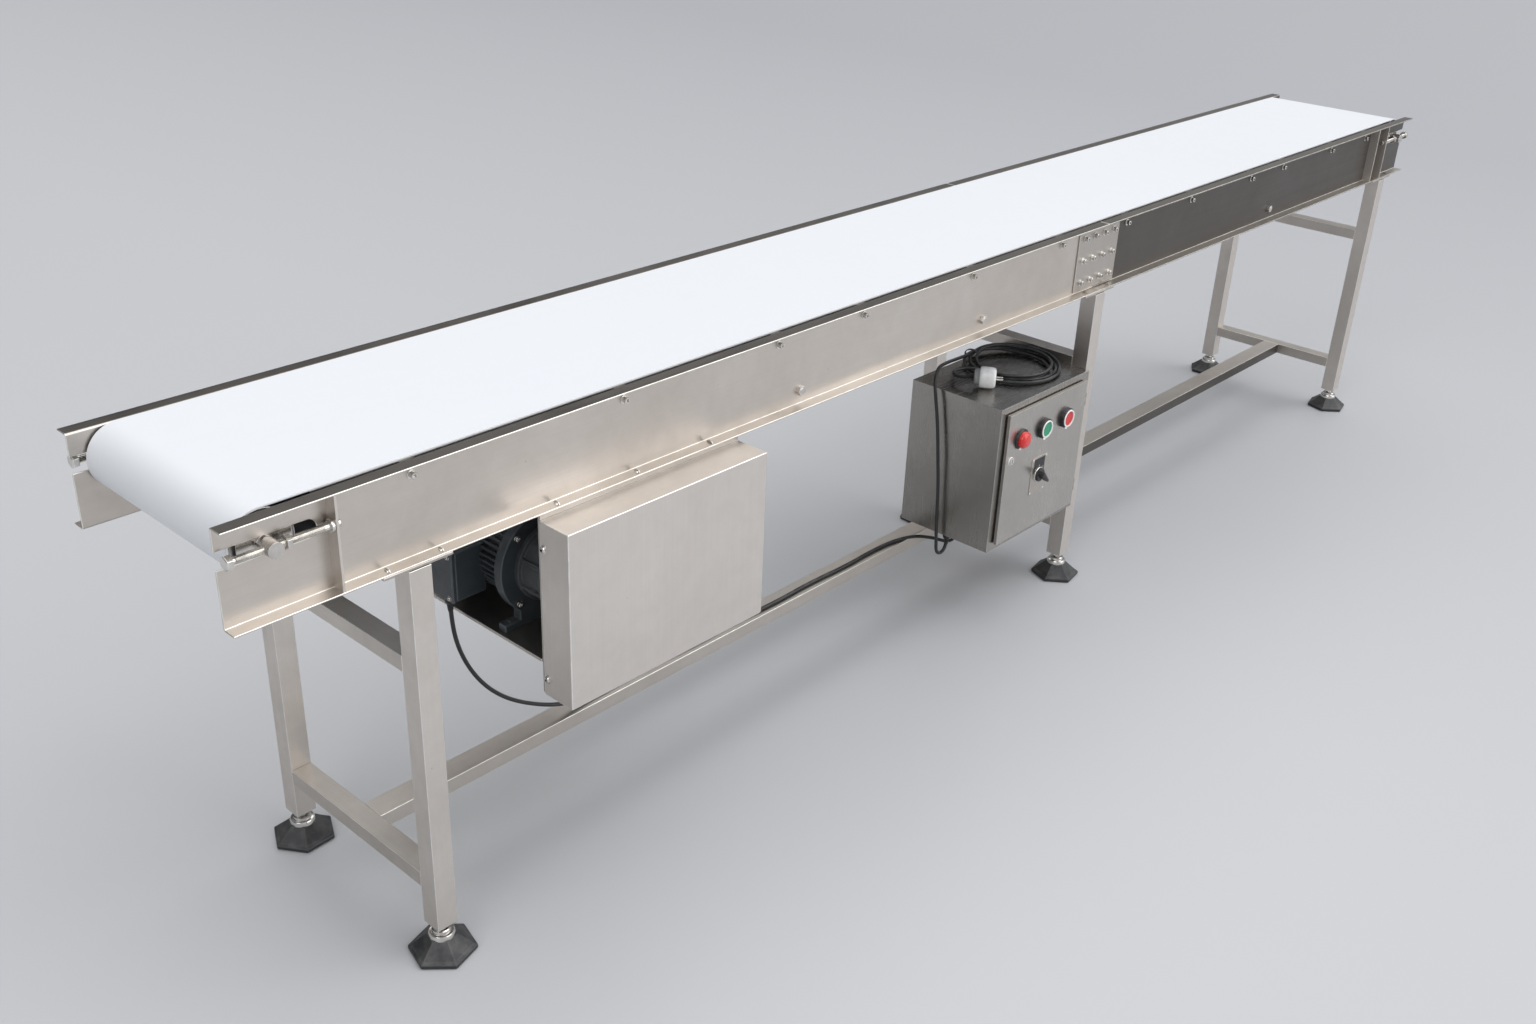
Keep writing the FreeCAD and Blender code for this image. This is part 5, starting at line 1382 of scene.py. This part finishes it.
def makeMotorCowl(axis, start, end):
    depth = end - start
    wide = motorValues["cowl"]
    cowl = turned([
        (0, wide - 0.002), (0, wide), (depth - 0.014, wide), (depth - 0.006, wide - 0.003),
        (depth - 0.001, wide - 0.01), (depth, wide - 0.016), (depth - 0.0015, wide - 0.0165),
        (depth - 0.008, wide - 0.005), (depth - 0.015, wide - 0.002),
    ], 64, True)
    for ring in motorValues["guardRings"]:
        join(cowl, turned([
            (depth - 0.002, ring - 0.0025), (depth - 0.002, ring + 0.0025), (depth, ring + 0.0022),
            (depth, ring - 0.0022),
        ], 48, True))
    spoke = ((0.008, -0.002, depth - 0.003), (wide - 0.014, 0.002, depth - 0.001), 0.0005)
    spokesInto(cowl, motorValues["spokes"], spoke)
    join(cowl, turned(
        [(depth - 0.003, 0), (depth - 0.003, 0.013), (depth - 0.0005, 0.0125), (depth, 0.0)], 32,
    ))
    place(cowl, (axis.x, start, axis.z), "y")
    addPiece(cowl, "motorCowl", "motor", "frame")


def makeMotorFan(axis, start):
    fan = turned([(0.002, 0), (0.002, 0.022), (0.03, 0.018), (0.034, 0.012), (0.034, 0)], 32)
    blade = ((0.016, -0.0012, 0.006), (0.07, 0.0012, 0.032), 0.0006)
    spokesInto(fan, motorValues["blades"], blade, 0.0, motorValues["bladeLean"])
    place(fan, (axis.x, start, axis.z), "y")
    addPiece(fan, "motorFan", "black", "frame")


# Terminal box on the tail side, with a lid and four screws
def makeTerminalBox(axis, screws):
    low = Vector((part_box("motor_shell")[0].x, -0.038, axis.z - 0.066))
    high = Vector((axis.x - motorValues["finRoot"] + 0.002, 0.034, axis.z + 0.03))
    box = slab(low + Vector((0.009, 0, 0)), high, 0.003, 3)
    join(box, slab(
        (low.x + 0.0075, low.y + 0.0015, low.z + 0.0015),
        (low.x + 0.0095, high.y - 0.0015, high.z - 0.0015), 0.0004,
    ))
    join(box, slab(
        (low.x, low.y - 0.0015, low.z - 0.0005), (low.x + 0.0075, high.y + 0.0015, high.z + 0.0015), 0.0028,
        3,
    ))
    addPiece(box, "terminalBox", "motor", "frame")
    screw = capScrew(*screwKinds["lid"])
    spots = []
    for y in (low.y + 0.008, high.y - 0.008):
        for z in (low.z + 0.008, high.z - 0.008):
            spots.append(lookingAt((low.x + 0.001, y, z), "-x", y * 40))
    stamp(screws, screw, spots)
    screw.free()


def makeEndBells(axis, nearFace, farFace, bolt, screws):
    bells = cadCopy("motor_end_bells")
    easeEdges(bells, 0.0022, 3)
    addPiece(bells, "motorEndBells", "motor", "frame", ["motor_end_bells"])
    spots = []
    for _angle, x, z in aroundCircle(motorValues["bellBolts"], motorValues["bellCircle"], math.radians(45)):
        spots.append(lookingAt((axis.x + x, nearFace, axis.z + z), "-y", x * 30))
        spots.append(lookingAt((axis.x + x, farFace, axis.z + z), "y", x * 30))
    stamp(screws, bolt, spots)


# Gear head: a ribbed casting with a bored boss
def makeGearHead(axis, face, bolt, screws):
    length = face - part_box("gear_head")[0].y
    flat = length - motorValues["boss"]
    casting = turned([
        (0, 0.0125), (0, 0.072), (0.01, 0.072), (0.012, 0.066), (flat - 0.014, 0.064), (flat - 0.012, 0.071),
        (flat - 0.002, 0.071), (flat, 0.069), (flat, 0.037), (flat + 0.003, 0.034), (length - 0.002, 0.032),
        (length, 0.03), (length, 0.0125),
    ], 64, True)
    rib = ((0.06, -0.0035, 0.008), (0.0705, 0.0035, flat - 0.01), 0.0014)
    spokesInto(casting, motorValues["headBolts"], rib, math.radians(22.5))
    easeEdges(casting, 0.0009, 2, 40)
    place(casting, (axis.x, face, axis.z), "-y")
    addPiece(casting, "gearHeadCasting", "casting", "frame", ["gear_head"])
    spots = []
    for _angle, x, z in aroundCircle(motorValues["headBolts"], motorValues["headCircle"]):
        spots.append(lookingAt((axis.x + x, face - flat, axis.z + z), "-y", z * 30))
    stamp(screws, bolt, spots)


def makeMotor():
    near, far = sorted(solidBoxes("motor_end_bells"), key=lambda pair: pair[0].y)
    axis = Vector(((near[0].x + near[1].x) / 2, 0, near[1].z - motorValues["belowTop"]))
    makeMotorFins(axis, near[1].y, far[0].y)
    makeMotorCowl(axis, far[1].y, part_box("motor_shell")[1].y)
    makeMotorFan(axis, far[1].y)
    screws = bmesh.new()
    makeTerminalBox(axis, screws)
    bolt = capScrew(*screwKinds["bell"])
    makeEndBells(axis, near[0].y, far[1].y, bolt, screws)
    makeGearHead(axis, near[0].y, bolt, screws)
    bolt.free()
    addPiece(screws, "motorScrews", "bright", "frame", (), 35)


makeMotor()
print("gear motor made")


# ---------- switchgear behind the door ----------

gearValues = {"terminals": 24, "fins": 9, "poles": 3}


def addDrive(low, high, greys, blacks, screws):
    # speed controller: a case with cooling slots at its sides, a dark front and a keypad
    middle = (low + high) / 2
    join(greys, slab(low + Vector((0, 0.012, 0)), high, 0.003, 3))
    join(blacks, slab(
        (low.x + 0.004, low.y + 0.002, low.z + 0.004), (high.x - 0.004, low.y + 0.013, high.z - 0.004),
        0.002,
    ))
    join(greys, slab(
        (low.x + 0.016, low.y, middle.z - 0.004), (high.x - 0.016, low.y + 0.003, high.z - 0.016), 0.001,
    ))
    for row in range(2):
        for column in range(3):
            x = low.x + 0.029 + column * 0.016
            z = middle.z + 0.004 + row * 0.013
            join(blacks, slab(
                (x - 0.005, low.y - 0.0012, z - 0.004), (x + 0.005, low.y + 0.001, z + 0.004), 0.0008,
            ))
    for index in range(gearValues["fins"]):
        z = low.z + 0.014 + index * (high.z - low.z - 0.028) / (gearValues["fins"] - 1)
        for x in (low.x, high.x):
            join(blacks, slab(
                (x - 0.0006, low.y + 0.024, z - 0.0028), (x + 0.0006, high.y - 0.012, z + 0.0028), 0.0003,
            ))
    for index in range(6):
        x = low.x + 0.015 + index * 0.012
        screw = capScrew(*screwKinds["drive"])
        join(screws, place(screw, (x, low.y + 0.002, low.z + 0.013), "-y", index * 0.8))


def addContactor(low, high, greys, blacks, screws):
    # switch: a wide foot, a narrower front with a dark plunger, and a row of screws above and below
    middle = (low + high) / 2
    join(greys, slab((low.x, low.y + 0.03, low.z), high, 0.0016))
    join(greys, slab(
        (low.x + 0.001, low.y + 0.002, low.z + 0.02), (high.x - 0.001, low.y + 0.032, high.z - 0.02), 0.0016,
    ))
    join(blacks, slab(
        (middle.x - 0.006, low.y, middle.z - 0.009), (middle.x + 0.006, low.y + 0.004, middle.z + 0.009),
        0.001,
    ))
    for pole in range(gearValues["poles"]):
        x = middle.x + (pole - 1) * 0.0128
        for z in (low.z + 0.01, high.z - 0.01):
            join(blacks, slab(
                (x - 0.0048, low.y + 0.028, z - 0.0075), (x + 0.0048, low.y + 0.031, z + 0.0075), 0.0008,
            ))
            screw = capScrew(*screwKinds["switch"])
            join(screws, place(screw, (x, low.y + 0.0282, z), "-y", pole * 0.9))


def addTerminals(low, high, greys, blacks, screws, plates):
    # a mounting rail with a row of terminals, an end stop at each side and a screw above and below in each
    middle = (low + high) / 2
    join(plates, slab(
        (low.x, high.y - 0.0075, middle.z - 0.0175), (high.x, high.y, middle.z + 0.0175), 0.0006,
    ))
    count = gearValues["terminals"]
    wide = (high.x - low.x - 0.024) / count
    screwKind = capScrew(*screwKinds["terminal"])
    spots = []
    for index in range(count):
        x = low.x + 0.012 + index * wide
        target = blacks if index % 8 == 7 else greys
        join(target, slab(
            (x + 0.0002, low.y + 0.008, low.z), (x + wide - 0.0002, high.y - 0.006, high.z), 0.0006, 1,
        ))
        join(target, slab(
            (x + 0.0002, low.y, low.z + 0.012), (x + wide - 0.0002, low.y + 0.009, high.z - 0.012), 0.0006,
            1,
        ))
        for z in (low.z + 0.006, high.z - 0.006):
            spots.append(lookingAt(Vector((x + wide / 2, low.y + 0.0082, z)), "-y", index * 0.7))
    stamp(screws, screwKind, spots)
    screwKind.free()
    for x in (low.x, high.x - 0.011):
        join(blacks, slab(
            (x, low.y + 0.014, low.z + 0.004), (x + 0.011, high.y - 0.004, high.z - 0.004), 0.0012,
        ))


def makeSwitchgear():
    plates, greys, blacks, screws = bmesh.new(), bmesh.new(), bmesh.new(), bmesh.new()
    for low, high in solidBoxes("control_gear"):
        span = high - low
        if span.y < 0.003:
            join(plates, slab(low, high, 0.0006))
        elif span.x < 0.012:
            middle = (low + high) / 2
            post = turned([(0, 0), (0, 0.005), (span.y, 0.005), (span.y, 0)], 6)
            join(plates, place(post, (middle.x, low.y, middle.z), "y"))
        elif span.x > 0.2:
            addTerminals(low, high, greys, blacks, screws, plates)
        elif span.z > 0.1:
            addDrive(low, high, greys, blacks, screws)
        else:
            addContactor(low, high, greys, blacks, screws)
    addPiece(plates, "gearPlate", "plate", "frame", ["control_gear"])
    addPiece(greys, "gearCases", "grey", "frame")
    addPiece(blacks, "gearFronts", "black", "frame")
    addPiece(screws, "gearScrews", "bright", "frame", (), 35)


makeSwitchgear()
print("switchgear made")


# ---------- floor and light ----------

floorValues = {"reach": 45, "paintedShadeEnd": 6.0, "rough": 0.42, "specular": 0.35}


def makeFloor():
    shape = bmesh.new()
    bmesh.ops.create_grid(shape, x_segments=2, y_segments=2, size=floorValues["reach"])
    mesh = bpy.data.meshes.new("floor")
    shape.to_mesh(mesh)
    shape.free()
    material = bpy.data.materials.new("floorPaint")
    material.use_nodes = True
    shader = material.node_tree.nodes["Principled BSDF"]
    tree = material.node_tree
    spot = addNode(
        tree, "ShaderNodeSeparateXYZ", {0: tree.nodes.new("ShaderNodeTexCoord").outputs["Object"]},
    )
    # painted shade: the floor colour darkens along x away from the camera, standing in for falling light
    away = spread(tree, spot.outputs["X"], 0.0, floorValues["paintedShadeEnd"])
    tone = blendColour(tree, away, (0.475, 0.482, 0.5), (0.385, 0.393, 0.417))
    tree.links.new(tone, shader.inputs["Base Color"])
    shader.inputs["Roughness"].default_value = floorValues["rough"]
    shader.inputs["Specular IOR Level"].default_value = floorValues["specular"]
    mesh.materials.append(material)
    floor = bpy.data.objects.new("floor", mesh)
    scene.collection.objects.link(floor)


lights = {
    # name: (strength, spread in degrees, compass heading that it comes from, height above the horizon)
    "overhead": (1.95, 84, 20, 78),
    "frontRight": (1.15, 60, -62, 30),
    "leftLow": (0.75, 40, 196, 34),
}


def makeLights():
    for name, (strength, spreadAngle, heading, height) in lights.items():
        lamp = bpy.data.lights.new(name, "SUN")
        lamp.energy = strength
        lamp.angle = math.radians(spreadAngle)
        holder = bpy.data.objects.new(name, lamp)
        across, up = math.radians(heading), math.radians(height)
        away = Vector((math.cos(across) * math.cos(up), math.sin(across) * math.cos(up), math.sin(up)))
        holder.rotation_mode = "QUATERNION"
        holder.rotation_quaternion = away.to_track_quat("Z", "Y")
        scene.collection.objects.link(holder)
    world = bpy.data.worlds.new("studio")
    world.use_nodes = True
    tree = world.node_tree
    way = tree.nodes.new("ShaderNodeTexCoord").outputs["Generated"]
    parts = addNode(tree, "ShaderNodeSeparateXYZ", {0: way}).outputs
    # the wall behind is darker than the room in front, and the ceiling dims between the lamps
    front = spread(tree, parts["Y"], -0.6, 0.7, 0.92, 0.12)
    leftDim = spread(tree, parts["X"], -0.8, 0.4, 0.6, 1.0)
    base = blendColour(tree, spread(tree, parts["Z"], 0.0, 0.5), (1.0, 0.992, 0.985), (0.86, 0.875, 0.9))
    background = tree.nodes["Background"]
    tree.links.new(base, background.inputs["Color"])
    tree.links.new(figure(tree, "MULTIPLY", front, leftDim), background.inputs["Strength"])
    scene.world = world
    scene.view_settings.view_transform = "Standard"


makeFloor()
makeLights()
print("floor and light set")
